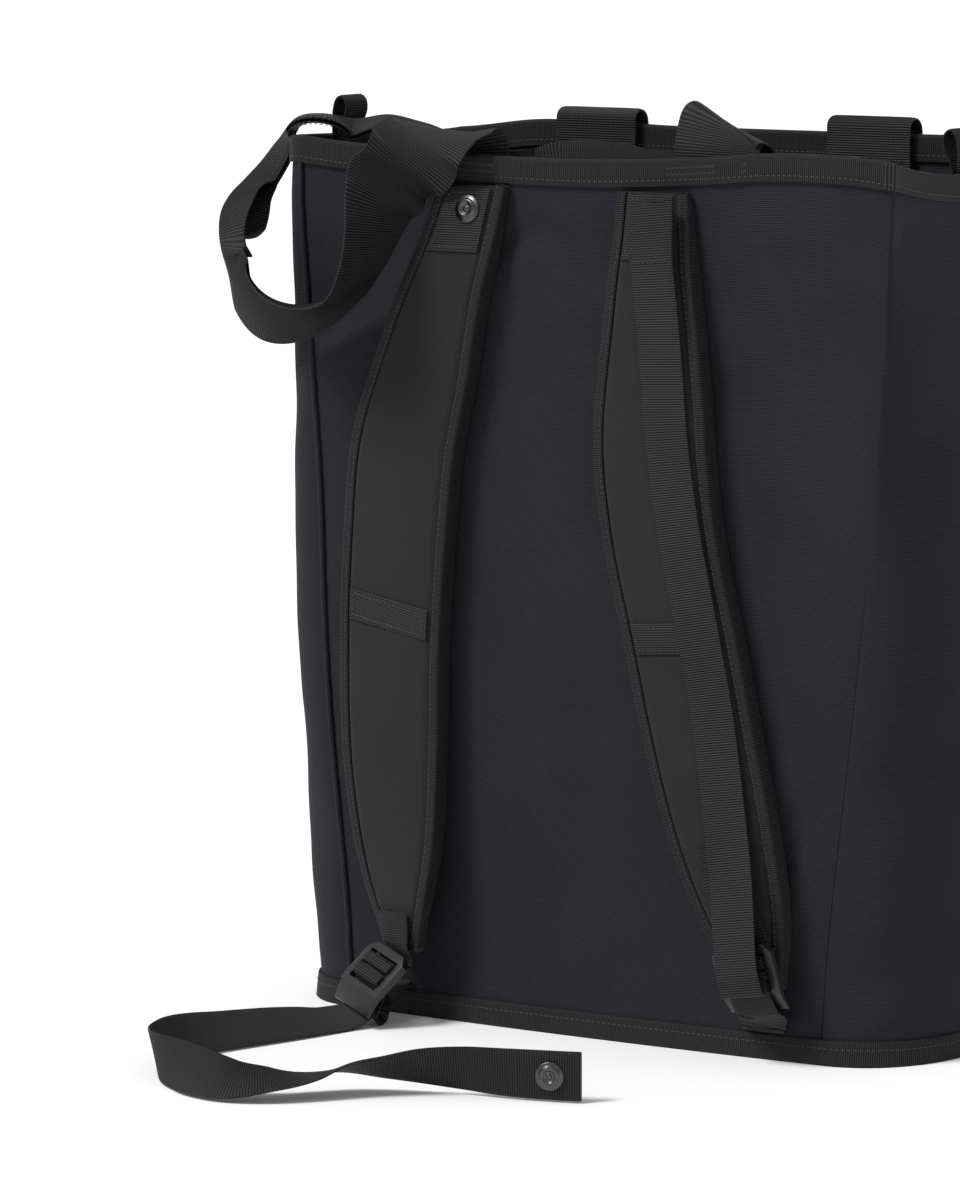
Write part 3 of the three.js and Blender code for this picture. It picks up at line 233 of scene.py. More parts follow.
def mouldedMaterial(name, look):
    material, shader = newMaterial(name, look["roughness"], look["metallic"], 0.5)
    place = material.node_tree.nodes.new("ShaderNodeTexCoord").outputs["Object"]
    grain = addNode(material, "ShaderNodeTexNoise", (place, None, look["grain"], 4.0, 0.6))
    colour = mixColours(material, grain, look["dark"], look["light"])
    material.node_tree.links.new(colour, shader.inputs["Base Color"])
    rough = math2(material, "MULTIPLY_ADD", grain, look["roughSpread"], look["roughness"])
    material.node_tree.links.new(rough, shader.inputs["Roughness"])
    addBump(material, shader, grain, look["depth"])
    return material


# In each look the groove share sets how dark the painted shade in the weave's grooves is, as a share of the
# dark colour
looks = {
    "bodyCloth": {"dark": (0.0235, 0.0243, 0.0305), "light": (0.0325, 0.0335, 0.0405),
                  "paintedGrooveShade": 0.22,
                  "roughness": 0.8, "specular": 0.06, "sheen": 0.03, "weft": 1.0, "warp": 0.5,
                  "twill": 0.7,
                  "slant": 0.0, "weftShare": 0.75, "warpShare": 0.12, "twillShare": 0.0, "slub": 0.25,
                  "depth": 0.12},
    "padCloth": {"dark": (0.0275, 0.0279, 0.03), "light": (0.0345, 0.035, 0.0372), "paintedGrooveShade": 0.25,
                 "roughness": 0.85, "specular": 0.06, "sheen": 0.05, "weft": 0.7, "warp": 0.6,
                 "twill": 0.7,
                 "slant": 0.7, "weftShare": 0.08, "warpShare": 0.08, "twillShare": 0.7, "slub": 0.35,
                 "depth": 0.09},
    "grosgrain": {"dark": (0.027, 0.027, 0.0275), "light": (0.039, 0.039, 0.0395), "paintedGrooveShade": 0.02,
                  "roughness": 0.62, "specular": 0.08, "sheen": 0.02, "weft": 1.15, "warp": 0.9,
                  "twill": 0.7,
                  "slant": 0.0, "weftShare": 0.8, "warpShare": 0.12, "twillShare": 0.0, "slub": 0.15,
                  "depth": 0.2},
    "webbing": {"dark": (0.029, 0.029, 0.0295), "light": (0.043, 0.043, 0.0435), "paintedGrooveShade": 0.01,
                "roughness": 0.55, "specular": 0.1, "sheen": 0.02, "weft": 1.28, "warp": 1.4,
                "twill": 0.9,
                "slant": 0.06, "weftShare": 0.85, "warpShare": 0.12, "twillShare": 0.0, "slub": 0.12,
                "depth": 0.3},
}
cloth = {name: wovenMaterial(name, look) for name, look in looks.items()}
lockPlastic = mouldedMaterial("lockPlastic", {
    "dark": (0.006, 0.006, 0.0065), "light": (0.009, 0.009, 0.0095), "roughness": 0.3,
    "roughSpread": 0.1,
    "metallic": 0.0, "grain": 1800.0, "depth": 0.01})
snapMetal = mouldedMaterial("snapMetal", {
    "dark": (0.05, 0.05, 0.052), "light": (0.13, 0.13, 0.133), "roughness": 0.24, "roughSpread": 0.12,
    "metallic": 1.0, "grain": 700.0, "depth": 0.008})
thread = mouldedMaterial("thread", {
    "dark": (0.006, 0.006, 0.006), "light": (0.05, 0.05, 0.051), "roughness": 0.4, "roughSpread": 0.2,
    "metallic": 0.0, "grain": 2500.0, "depth": 0.02})
print("materials made:", len(bpy.data.materials))


# Meshes from rings of points. uv is in metres: across from the way round a ring, along from ring to ring.
def loftMesh(name, rings, material, looped=False, along=None, attributes=None):
    rings = np.asarray(rings, float)
    count, size = rings.shape[:2]
    middle = rings[count // 2]
    acrossAt = np.concatenate([[0], np.cumsum(np.linalg.norm(np.roll(middle, -1, 0) - middle, axis=1))])
    if along is None:
        steps = np.linalg.norm(np.diff(rings.mean(1), axis=0), axis=1)
        along = np.concatenate([[0], np.cumsum(steps)])
        if looped:
            along = np.append(along, along[-1] + steps[-1])
    faces, uvs = [], []
    for ring in range(count if looped else count - 1):
        here, there = ring * size, ((ring + 1) % count) * size
        for k in range(size):
            l = (k + 1) % size
            faces.append((here + k, here + l, there + l, there + k))
            uvs += [(acrossAt[k], along[ring]), (acrossAt[k + 1], along[ring]),
                    (acrossAt[k + 1], along[ring + 1]), (acrossAt[k], along[ring + 1])]
    if not looped:
        for base, turned in ((0, False), ((count - 1) * size, True)):
            place = along[-1] if turned else along[0]
            for k in range(size // 2 - 1):
                corners = [k, size - 1 - k, size - 2 - k, k + 1]
                if turned:
                    corners = [corners[0], corners[3], corners[2], corners[1]]
                faces.append(tuple(base + corner for corner in corners))
                uvs += [(acrossAt[corner], place) for corner in corners]
    points = rings.reshape(-1, 3)
    faces = np.array(faces)
    a, b, c, d = (points[faces[:, index]] for index in range(4))
    volume = (np.einsum("ij,ij->i", a, np.cross(b, c)) + np.einsum("ij,ij->i", a, np.cross(c, d))).sum()
    uvs = np.array(uvs).reshape(-1, 4, 2)
    if volume < 0:
        faces, uvs = faces[:, ::-1], uvs[:, ::-1]
    return newMesh(name, points, faces, material, uvs.reshape(-1, 2), attributes)


def newMesh(name, points, faces, material, uvs=None, attributes=None):
    mesh = bpy.data.meshes.new(name)
    mesh.from_pydata((np.asarray(points) * mm).tolist(), [], np.asarray(faces).tolist())
    if uvs is not None:
        layer = mesh.uv_layers.new(name="weave")
        layer.data.foreach_set("uv", (uvs * mm).ravel().astype(np.float32))
    for key, values in (attributes or {}).items():
        mesh.attributes.new(key, "FLOAT", "POINT").data.foreach_set("value",
                                                                    np.asarray(values, np.float32).ravel())
    mesh.polygons.foreach_set("use_smooth", [True] * len(mesh.polygons))
    mesh.set_sharp_from_angle(angle=math.radians(50))
    mesh.materials.append(material)
    piece = bpy.data.objects.new(name, mesh)
    bpy.context.scene.collection.objects.link(piece)
    return piece


def keepPiece(piece, slot, *nodes):
    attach(piece, "root")
    if nodes:
        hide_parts(*nodes)
    return piece


def bakeTree(piece, tree, values):  # runs a Geometry Nodes tree and keeps its result as a plain mesh
    modifier = piece.modifiers.new("tree", "NODES")
    modifier.node_group = tree
    for item in tree.interface.items_tree:
        if item.name in values:
            modifier[item.identifier] = values[item.name]
    evaluated = piece.evaluated_get(bpy.context.evaluated_depsgraph_get())
    baked = bpy.data.meshes.new_from_object(evaluated, preserve_all_data_layers=True,
                                            depsgraph=bpy.context.evaluated_depsgraph_get())
    piece.modifiers.remove(modifier)
    old = piece.data
    baked.name = old.name
    piece.data = baked
    bpy.data.meshes.remove(old)
    return piece


def newTree(name, inputs):
    tree = bpy.data.node_groups.new(name, "GeometryNodeTree")
    tree.interface.new_socket("Geometry", in_out="INPUT", socket_type="NodeSocketGeometry")
    for label, kind in inputs.items():
        tree.interface.new_socket(label, in_out="INPUT", socket_type=kind)
    tree.interface.new_socket("Geometry", in_out="OUTPUT", socket_type="NodeSocketGeometry")
    return tree, tree.nodes.new("NodeGroupInput"), tree.nodes.new("NodeGroupOutput")


def treeNode(tree, kind, links=None, **settings):
    node = tree.nodes.new(kind)
    for key, value in settings.items():
        setattr(node, key, value)
    for key, value in (links or {}).items():
        if isinstance(value, bpy.types.NodeSocket):
            tree.links.new(value, node.inputs[key])
        else:
            node.inputs[key].default_value = value
    return node


# Stitches: one rounded thread on each edge of a path, lying across the path's own normal
def makeStitchTree():
    tree, given, result = newTree("sewnStitches", {
        "Thread Width": "NodeSocketFloat", "Thread Height": "NodeSocketFloat",
        "Fill": "NodeSocketFloat",
        "Thread": "NodeSocketMaterial"})
    ends = treeNode(tree, "GeometryNodeInputMeshEdgeVertices")
    way = treeNode(tree, "ShaderNodeVectorMath",
                   {0: ends.outputs["Position 2"], 1: ends.outputs["Position 1"]},
                   operation="SUBTRACT").outputs[0]
    size = treeNode(tree, "ShaderNodeVectorMath", {0: way}, operation="LENGTH").outputs["Value"]
    normal = treeNode(tree, "GeometryNodeInputNamedAttribute", {"Name": "sewnNormal"},
                      data_type="FLOAT_VECTOR")
    kept = given.outputs["Geometry"]
    stored = {}
    for key, kind, value in (("way", "FLOAT_VECTOR", way), ("size", "FLOAT", size),
                             ("face", "FLOAT_VECTOR", normal.outputs["Attribute"])):
        store = treeNode(tree, "GeometryNodeStoreNamedAttribute",
                         {"Geometry": kept, "Name": key, "Value": value},
                         data_type=kind, domain="EDGE")
        kept = store.outputs["Geometry"]
        stored[key] = treeNode(tree, "GeometryNodeInputNamedAttribute", {"Name": key},
                               data_type=kind).outputs["Attribute"]
    points = treeNode(tree, "GeometryNodeMeshToPoints", {"Mesh": kept}, mode="EDGES").outputs["Points"]
    ball = treeNode(tree, "GeometryNodeMeshUVSphere",
                    {"Segments": 8, "Rings": 5, "Radius": 0.5}).outputs["Mesh"]
    smooth = treeNode(tree, "GeometryNodeSetShadeSmooth", {"Geometry": ball}).outputs[0]
    turn = treeNode(tree, "FunctionNodeAxesToRotation", {0: stored["way"], 1: stored["face"]},
                    primary_axis="X", secondary_axis="Z").outputs[0]
    length = treeNode(tree, "ShaderNodeMath", {0: stored["size"], 1: given.outputs["Fill"]},
                      operation="MULTIPLY").outputs[0]
    scale = treeNode(tree, "ShaderNodeCombineXYZ", {0: length, 1: given.outputs["Thread Width"],
                                                    2: given.outputs["Thread Height"]}).outputs[0]
    placed = treeNode(tree, "GeometryNodeInstanceOnPoints", {
        "Points": points, "Instance": smooth, "Rotation": turn, "Scale": scale}).outputs[0]
    real = treeNode(tree, "GeometryNodeRealizeInstances", {"Geometry": placed}).outputs[0]
    painted = treeNode(tree, "GeometryNodeSetMaterial",
                       {"Geometry": real, "Material": given.outputs["Thread"]})
    tree.links.new(painted.outputs[0], result.inputs[0])
    return tree


# Ribbed webbing: the face sinks between ribs that run across it
def makeRibTree():
    tree, given, result = newTree("ribbedWebbing", {
        "Rib Pitch": "NodeSocketFloat", "Rib Depth": "NodeSocketFloat",
        "Webbing": "NodeSocketMaterial"})
    along = treeNode(tree, "GeometryNodeInputNamedAttribute", {"Name": "along"},
                     data_type="FLOAT").outputs[0]
    face = treeNode(tree, "GeometryNodeInputNamedAttribute", {"Name": "face"},
                    data_type="FLOAT").outputs[0]
    turns = treeNode(tree, "ShaderNodeMath", {0: along, 1: given.outputs["Rib Pitch"]},
                     operation="DIVIDE")
    angle = treeNode(tree, "ShaderNodeMath", {0: turns.outputs[0], 1: 2 * math.pi},
                     operation="MULTIPLY")
    wave = treeNode(tree, "ShaderNodeMath", {0: angle.outputs[0]}, operation="COSINE")
    sunk = treeNode(tree, "ShaderNodeMath", {0: wave.outputs[0], 1: 0.5, 2: -0.5},
                    operation="MULTIPLY_ADD")
    depth = treeNode(tree, "ShaderNodeMath", {0: sunk.outputs[0], 1: given.outputs["Rib Depth"]},
                     operation="MULTIPLY")
    faded = treeNode(tree, "ShaderNodeMath", {0: depth.outputs[0], 1: face}, operation="MULTIPLY")
    normal = treeNode(tree, "GeometryNodeInputNormal").outputs[0]
    moved = treeNode(tree, "ShaderNodeVectorMath", {0: normal, "Scale": faded.outputs[0]},
                     operation="SCALE")
    placed = treeNode(tree, "GeometryNodeSetPosition", {"Geometry": given.outputs["Geometry"],
                                                        "Offset": moved.outputs[0]})
    real = treeNode(tree, "GeometryNodeRealizeInstances", {"Geometry": placed.outputs[0]})
    painted = treeNode(tree, "GeometryNodeSetMaterial", {"Geometry": real.outputs[0],
                                                         "Material": given.outputs["Webbing"]})
    tree.links.new(painted.outputs[0], result.inputs[0])
    return tree


stitchTree, ribTree = makeStitchTree(), makeRibTree()
stitch = {"pitch": 3.2, "fill": 0.82, "width": 0.55, "height": 0.42}


def running(points, normals, pitch=stitch["pitch"], closed=False):
    points, normals = np.asarray(points, float), np.asarray(normals, float)
    if closed:
        points, normals = np.vstack([points, points[:1]]), np.vstack([normals, normals[:1]])
    place = np.concatenate([[0], np.cumsum(np.linalg.norm(np.diff(points, axis=0), axis=1))])
    at = np.linspace(0, place[-1], max(int(round(place[-1] / pitch)), 1) + 1)
    spread = lambda values: np.stack([np.interp(at, place, values[:, axis]) for axis in range(3)], 1)
    return [(spread(points), spread(normals))]


def sew(name, rows, slot="tape", width=stitch["width"]):
    points, edges, normals = [], [], []
    for line, faces in rows:
        first = len(points)
        points += (line * mm).tolist()
        normals += unit(faces).tolist()
        edges += [(first + k, first + k + 1) for k in range(len(line) - 1)]
    mesh = bpy.data.meshes.new(name)
    mesh.from_pydata(points, edges, [])
    mesh.attributes.new("sewnNormal", "FLOAT_VECTOR", "POINT").data.foreach_set(
        "vector", np.array(normals, np.float32).ravel())
    piece = bpy.data.objects.new(name, mesh)
    bpy.context.scene.collection.objects.link(piece)
    bakeTree(piece, stitchTree, {"Thread Width": width * mm, "Thread Height": stitch["height"] * mm,
                                 "Fill": stitch["fill"], "Thread": thread})
    return keepPiece(piece, slot)


def zigzag(start, stop, side, normal, pitch=1.4):
    start, stop, side = (np.asarray(value, float) for value in (start, stop, side))
    count = max(int(np.linalg.norm(stop - start) / pitch), 2)
    shares = np.linspace(0, 1, count + 1)[:, None]
    line = start + (stop - start) * shares + side * np.where(np.arange(count + 1) % 2, 1, -1)[:, None]
    return [(line, np.tile(np.asarray(normal, float), (count + 1, 1)))]


# The body's outline and the lines moved out from it
steps = {"panel": 80, "gusset": 40}
sideSteps = [steps["panel"], steps["gusset"], steps["panel"], steps["gusset"]]
loopSize = sum(sideSteps)
aroundAt = np.concatenate([side + np.arange(count) / count for side, count in enumerate(sideSteps)])
wallFoot = body["baseThickness"] + body["gap"]
wallTop = body["height"] - tape["thick"] - body["gap"]
shareOfHeight = lambda height: (height - wallFoot) / (wallTop - wallFoot)
mouthTapeFoot = shareOfHeight(body["height"] - tape["mouthHeight"])
baseTapeTop = shareOfHeight(tape["baseHeight"])


def seams(up):
    row = readTable(bodyTable, up)
    widening = (body["mouthWidth"] - body["footWidth"]) / 2
    half = (body["footDepth"] + (body["mouthDepth"] - body["footDepth"]) * np.asarray(up, float)) / 2
    return (-body["footWidth"] / 2 - widening * row["left"],
            body["footWidth"] / 2 + widening * row["right"],
            half, row)


def outline(up):
    left, right, half, row = seams(up)
    lines = []
    for side in range(4):
        share = np.arange(sideSteps[side]) / sideSteps[side]
        if side % 2 == 0:
            sign = -1 if side == 0 else 1
            start, stop = (left, right) if side == 0 else (right, left)
            bulge = 4 * share * (1 - share) * row["bulge"] * body["bulge"]
            lines.append(np.stack([start + (stop - start) * share, sign * (half + bulge)], 1))
        else:
            sign = 1 if side == 1 else -1
            seam = right if side == 1 else left
            reach = row["rightReach"] if side == 1 else row["leftReach"]
            square = row["square"] if side == 1 else 0
            handleX = seam + sign * reach * body["endReach"] / 0.75
            corners = np.array([(seam, -sign * half), (handleX, -sign * half * (1 - square)),
                                (handleX, sign * half * (1 - square)), (seam, sign * half)])
            weights = np.stack([(1 - share)**3, 3 * share * (1 - share)**2, 3 * share**2 * (1 - share),
                                share**3], 1)
            lines.append(weights @ corners)
    return np.vstack(lines)


def moveSideways(points, distance, closed=True):
    points = np.asarray(points, float)
    before, after = np.roll(points, 1, 0), np.roll(points, -1, 0)
    if not closed:
        before[0], after[-1] = points[0] - (points[1] - points[0]), points[-1] + (points[-1] - points[-2])
    sideOf = lambda way: unit(np.stack([way[:, 1], -way[:, 0]], 1))
    first, second = sideOf(points - before), sideOf(after - points)
    middle = unit(first + second)
    scale = np.maximum((middle * first).sum(1), 0.6)
    return points + middle * (np.asarray(distance) / scale)[:, None] if np.ndim(distance) else \
        points + middle * (distance / scale)[:, None]


def mouthRise(around):
    return readTable(mouthTable, around)["rise"] * body["mouthWave"]


riseAt = mouthRise(aroundAt)


def loopAt(up, distance, height=None, raised=0.0):
    flat = moveSideways(outline(up), distance)
    z = np.full(loopSize, 0.0 if height is None else height)
    if height is None:
        z = wallFoot + (wallTop + riseAt - wallFoot) * up + raised
    return np.column_stack([flat, z])


def backFace(x, z):
    left, right, half, row = seams(np.clip(shareOfHeight(np.asarray(z, float)), 0, 1))
    share = np.clip((x - left) / (right - left), 0, 1)
    return -half - 4 * share * (1 - share) * row["bulge"] * body["bulge"]


# Folds of the cloth: how far each wall stands out or in, in mm, by its place around and its height
creases = {  # lines as (x across, height), half width, depth
    0: [([(-66, 398), (-40, 412), (-15, 422), (8, 412), (20, 396)], 7, 2.6),
        ([(-60, 384), (-20, 400), (10, 386)], 11, -0.8),
        ([(88, 405), (110, 425), (150, 436)], 9, -0.9), ([(90, 350), (118, 330), (150, 300)], 16, 2.2),
        ([(120, 92), (138, 120), (150, 140)], 7, 2.0), ([(100, 60), (128, 70), (150, 95)], 8, -0.9),
        ([(96, 76), (116, 96), (128, 128)], 6, 1.5), ([(-20, 40), (10, 120), (14, 200)], 20, 1.4)],
    1: [([(0.05, 30), (0.3, 60), (0.6, 100)], 12, 2.2),
        ([(0.05, 130), (0.35, 165), (0.7, 180)], 15, 2.0),
        ([(0.0, 300), (0.4, 330), (0.8, 320)], 20, 1.8),
        ([(0.02, 452), (0.3, 430), (0.7, 412)], 22, 4.5)],
    3: [([(0.9, 90), (0.7, 150), (0.5, 170)], 14, 1.6), ([(0.95, 330), (0.6, 300)], 18, 1.6)],
}


def lineDistance(x, z, line):
    nearest = np.full(np.shape(x), 1e9)
    for (ax, az), (bx, bz) in zip(line, line[1:]):
        dx, dz = bx - ax, bz - az
        share = np.clip(((x - ax) * dx + (z - az) * dz) / (dx * dx + dz * dz), 0, 1)
        nearest = np.minimum(nearest, np.hypot(x - ax - share * dx, z - az - share * dz))
    return nearest


def folds(side, share, x, z):
    depth = np.zeros(np.shape(x))
    for line, half, sunk in creases.get(side, []):
        spread = 1 if side == 0 else 90
        place = x if side == 0 else share * spread
        scaled = line if side == 0 else [(a * spread, b) for a, b in line]
        depth -= sunk * np.exp(-(lineDistance(place, z, scaled) / half)**2)
    seed = 1.7 * side
    depth += 0.5 * np.sin(x * 0.043 + z * 0.021 + seed) * np.sin(z * 0.037 - x * 0.013 + 2 * seed)
    depth += 0.25 * np.sin(x * 0.11 - z * 0.05 + seed) * np.sin(z * 0.083 + x * 0.06)
    fade = smoothStep(z, 16, 46) * (1 - smoothStep(z, 418, 446))
    return depth * fade


def wallPiece(name, side):
    first = sum(sideSteps[:side])
    count = sideSteps[side]
    indices = (first + np.arange(count + 1)) % loopSize
    share = np.arange(count + 1) / count
    levels = np.linspace(0, 1, 116)
    rings = []
    for up in levels:
        lines = []
        for distance in (0, -body["wall"]):
            line = loopAt(up, distance)[indices]
            flatFold = folds(side, share, line[:, 0], line[:, 2])
            edge = np.minimum(np.linalg.norm(line - line[0], axis=1),
                              np.linalg.norm(line - line[-1], axis=1))
            seam = -0.9 * np.exp(-(edge / 1.6)**2) - 0.35 * np.exp(-((edge - 6) / 2.2)**2)
            out = np.minimum(flatFold * smoothStep(edge, 0, 14), 0.8) + (seam if distance == 0 else 0)
            moved = line.copy()
            moved[:, :2] = moveSideways(line[:, :2], out, closed=False)
            for end, near in ((0, 1), (-1, -2)):
                moved[end] += unit(line[near] - line[end]) * body["gap"] * 0.7
            lines.append(moved)
        rings.append(np.vstack([lines[0], lines[1][::-1]]))
    heights = [ring[0][2] for ring in rings]
    piece = loftMesh(f"{name}_cloth", rings, cloth["bodyCloth"], along=np.array(heights))
    keepPiece(piece, "body_cloth", name)


def basePanel():
    edge = outline(0)
    centre = np.array([edge[:, 0].mean(), 0.0])
    rings = []
    for height in (0.0, body["baseThickness"]):
        shares = np.linspace(1, 0.02, 26) if height == 0.0 else np.linspace(0.02, 1, 26)
        for inner in shares:
            flat = centre + (edge - centre) * inner
            ripple = np.sin(flat[:, 0] * 0.05) * np.sin(flat[:, 1] * 0.07)
            sag = 0.0 if height == 0.0 else 0.25 * ripple * (1 - inner)
            rings.append(np.column_stack([flat, np.full(len(flat), height) + sag]))
    rings = np.array(rings)
    piece = loftMesh("base_panel_cloth", rings, cloth["bodyCloth"], looped=True,
                     along=np.linspace(0, 300, len(rings) + 1))
    keepPiece(piece, "body_cloth", "base_panel")


for side, name in enumerate(["back_panel", "gusset_right", "front_panel", "gusset_left"]):
    wallPiece(name, side)
basePanel()
print("body walls made")


# The mouth tape folds over the walls' top edge, and its end laps over its start for a short way
mouthLap = {"from": 0.715, "to": 0.775, "raise": 0.6}


def tapeLap(around):
    near = smoothStep(around, mouthLap["from"], mouthLap["from"] + 0.004)
    return mouthLap["raise"] * near * (1 - smoothStep(around, mouthLap["to"] - 0.03, mouthLap["to"]))


def mouthTape():
    out, inside = body["gap"] + tape["thick"], -(body["wall"] + body["gap"] + tape["thick"])
    middle, half, top = (out + inside) / 2, (out - inside) / 2, tape["thick"] + body["gap"]
    profile = [(out, share, 0.0) for share in np.linspace(0, 1, 8)]
    turns = np.linspace(0.25, math.pi - 0.25, 9)
    profile += [(middle + half * math.cos(turn), 1.0, top * math.sin(turn)) for turn in turns]
    profile += [(inside, share, 0.0) for share in np.linspace(1, 0, 8)]
    inner, liner = inside + tape["thick"], body["gap"]
    profile += [(inner, 0.0, 0.0), (inner, 0.5, 0.0), (inner, 1.0, 0.1), (liner, 1.0, 0.1),
                (liner, 0.5, 0.0),
                (liner, 0.0, 0.0)]
    rows = []
    for distance, share, raised in profile:
        up = mouthTapeFoot + (1 - mouthTapeFoot) * share
        extra = tapeLap(aroundAt) if distance > liner and share < 1 else 0.0
        flat = moveSideways(outline(up), distance + np.zeros(loopSize) + extra)
        z = wallFoot + (wallTop + riseAt - wallFoot) * up + raised
        rows.append(np.column_stack([flat, z]))
    rings = np.array(rows).transpose(1, 0, 2)
    keepPiece(loftMesh("mouth_binding", rings, cloth["grosgrain"], looped=True), "tape", "mouth_tape")
    lines = []
    for distance, sign in ((out + 0.1, 1), (inside - 0.1, -1)):
        line = loopAt(mouthTapeFoot + (1 - mouthTapeFoot) * 0.24, distance)
        line[:, :2] += unit(line[:, :2] - np.roll(line[:, :2], 1, 0))[:, ::-1] * (1, -1) * \
            (tapeLap(aroundAt)[:, None] if sign > 0 else 0)
        way = np.roll(line, -1, 0) - np.roll(line, 1, 0)
        lines += running(line, np.column_stack([way[:, 1], -way[:, 0], np.zeros(loopSize)]) * sign,
                         closed=True)
    sew("mouth_binding_stitches", lines)


def baseTape():
    out = body["gap"] + tape["thick"]
    profile = [(body["gap"], 0.0), (out + tape["baseFlare"] - 0.8, 0.0),
               (out + tape["baseFlare"], 0.05)]
    profile += [(out + tape["baseFlare"] * (1 - share), share) for share in np.linspace(0.12, 0.93, 8)]
    profile += [(out - 0.15, 0.98), (out - 0.6, 1.0), (body["gap"], 1.0), (body["gap"], 0.5)]
    rows = [loopAt(share * baseTapeTop, distance, tape["baseHeight"] * share) for distance,
            share in profile]
    rings = np.array(rows).transpose(1, 0, 2)
    keepPiece(loftMesh("base_binding", rings, cloth["grosgrain"], looped=True), "tape", "base_tape")
    share = 0.68
    line = loopAt(share * baseTapeTop, out + tape["baseFlare"] * (1 - share) + 0.1,
                  tape["baseHeight"] * share)
    way = np.roll(line, -1, 0) - np.roll(line, 1, 0)
    sew("base_binding_stitches",
        running(line, np.column_stack([way[:, 1], -way[:, 0], np.zeros(loopSize)]), closed=True))


mouthTape()
baseTape()
print("edge tapes made")


# Shoulder pads
padTop = body["height"] - tape["mouthHeight"] - body["mouthWave"] * 0.4 - 4 * body["gap"]
padStep = pad["leg"] + body["gap"]
padFace = padStep + pad["tape"]


def padPlace(side, down):
    down = np.asarray(down, float)
    held = np.minimum(down, 1 - padFace / pad["length"])
    row, shape = readTable(padTables[side], held), readTable(padShape, held)
    lift, turn = row["lift"] * pad["thick"], row["turn"]
    left = (row["middle"] * body["mouthWidth"] - shape["wide"] * pad["width"]) / 2
    return {"middle": readTable(padTables[side], down)["middle"] * body["mouthWidth"] / 2,
            "z": padTop - pad["length"] * down,
            "half": readTable(padShape, down)["wide"] * pad["width"] / 2,
            "thick": shape["thick"] * pad["thick"], "outAt": lambda x: lift + turn * (x - left)}


def padPoint(side, down, across, out):
    place = padPlace(side, down)
    x = place["middle"] + across
    return np.stack(np.broadcast_arrays(x, backFace(x, place["z"]) - place["outAt"](x) - out,
                                        place["z"]), -1)


def padRim(side, count=110):
    edge = np.concatenate([np.linspace(0, 0.955, count), [0.965, 0.974, 1 - padFace / pad["length"],
                                                          1 - padStep / pad["length"],
                                                          1 - 2 / pad["length"], 1]])
    lowest = padPlace(side, 1)
    shares = np.array([-0.8, -0.5, -0.2, 0.2, 0.5, 0.8])
    downs = np.concatenate([edge, np.ones(len(shares)), edge[::-1]])
    half = padPlace(side, edge)["half"]
    across = np.concatenate([-half, shares * lowest["half"], half[::-1]])
    place = padPlace(side, downs)
    return edge, downs, np.column_stack([place["middle"] + across, place["z"]])


def padAt(side, downs, flat, out):
    place = padPlace(side, downs)
    return np.column_stack([flat[:, 0],
                            backFace(flat[:, 0], flat[:, 1]) - place["outAt"](flat[:, 0]) - out,
                            flat[:, 1]])


def crownAt(down, share):
    pressed = 1.0
    for sewn in (0.0, 0.045, 0.085, pad["bandPlace"], 0.97, 1.0):
        pressed = pressed * (1 - np.exp(-((down - sewn) / 0.022)**2))
    return pad["crown"] * pressed * (1 - share**2)


def buildPad(side):
    edge, downs, line = padRim(side)
    inset = pad["tape"] + body["gap"]
    near = moveSideways(line, -inset, closed=False)
    shares = np.concatenate([[-1, -0.985], np.linspace(-0.97, 0.97, 37), [0.985, 1]])
    rings = []
    for index, down in enumerate(edge):
        other = len(line) - 1 - index
        a, b = near[index], near[other]
        width = np.linalg.norm(b - a)
        flat = a + (b - a) * (shares[:, None] + 1) / 2
        rim = (1 - np.abs(shares)) / 2 * width + inset
        faced = smoothStep(rim, padStep - 0.2, padFace + 0.6)
        faced = faced * smoothStep((1 - down) * pad["length"], padStep, padFace + 1)
        thick = padPlace(side, down)["thick"]
        soft = np.sin(down * 31 + shares * 2.3) * 0.18 * faced
        front = thick - inset + inset * faced + crownAt(down, shares) * faced + np.minimum(soft, 0) * 0.6
        roll = smoothStep(np.minimum(rim - inset, 1.2), 0, 1.2)
        front = front - (1 - roll) * 0.4
        backs = inset - inset * faced + (1 - roll) * 0.4
        allDown = np.full(len(shares), down)
        rings.append(np.vstack([padAt(side, allDown, flat, front),
                                padAt(side, allDown, flat, backs)[::-1]]))
    piece = loftMesh(f"padding_{side}", rings, cloth["padCloth"])
    keepPiece(piece, "pad_cloth", f"shoulder_pad_{side}")


def buildPadTape(side):
    edge, downs, line = padRim(side)
    place = padPlace(side, downs)
    thick, cover = place["thick"], pad["tape"]
    lineAt = lambda distance: moveSideways(line, -distance, closed=False)
    lines = {distance: lineAt(distance) for distance in (0.0, 0.35, cover, 3.0, pad["leg"] - 0.3,
                                                         pad["leg"])}
    corner = lambda distance, out: padAt(side, downs, lines[distance], out)
    roundOff = 1.0
    profile = [(pad["leg"], thick - 0.5), (pad["leg"] - 0.3, thick - 0.05), (3.0, thick + 0.05),
               (cover, thick - 0.1), (0.35, thick - roundOff * 0.6), (0.0, thick - roundOff * 1.6),
               (0.0, thick * 0.5),
               (0.0, roundOff * 1.6), (0.35, roundOff * 0.6), (cover, 0.1), (3.0, 0),
               (pad["leg"], 0 * thick),
               (pad["leg"], cover + 0 * thick), (cover, cover + 0 * thick), (cover, thick - cover),
               (pad["leg"], thick - cover)]
    rings = np.array([corner(distance, out + np.zeros(len(downs))) for distance,
                      out in profile]).transpose(1, 0, 2)
    keepPiece(loftMesh(f"pad_binding_{side}", rings, cloth["grosgrain"]), "tape", f"pad_tape_{side}")
    sewn = padAt(side, downs, lineAt(pad["leg"] - 1.5), thick + 0.12)
    normals = np.tile((0.0, -1.0, 0.0), (len(sewn), 1))
    sew(f"pad_binding_stitches_{side}", running(sewn, normals, 2.9))


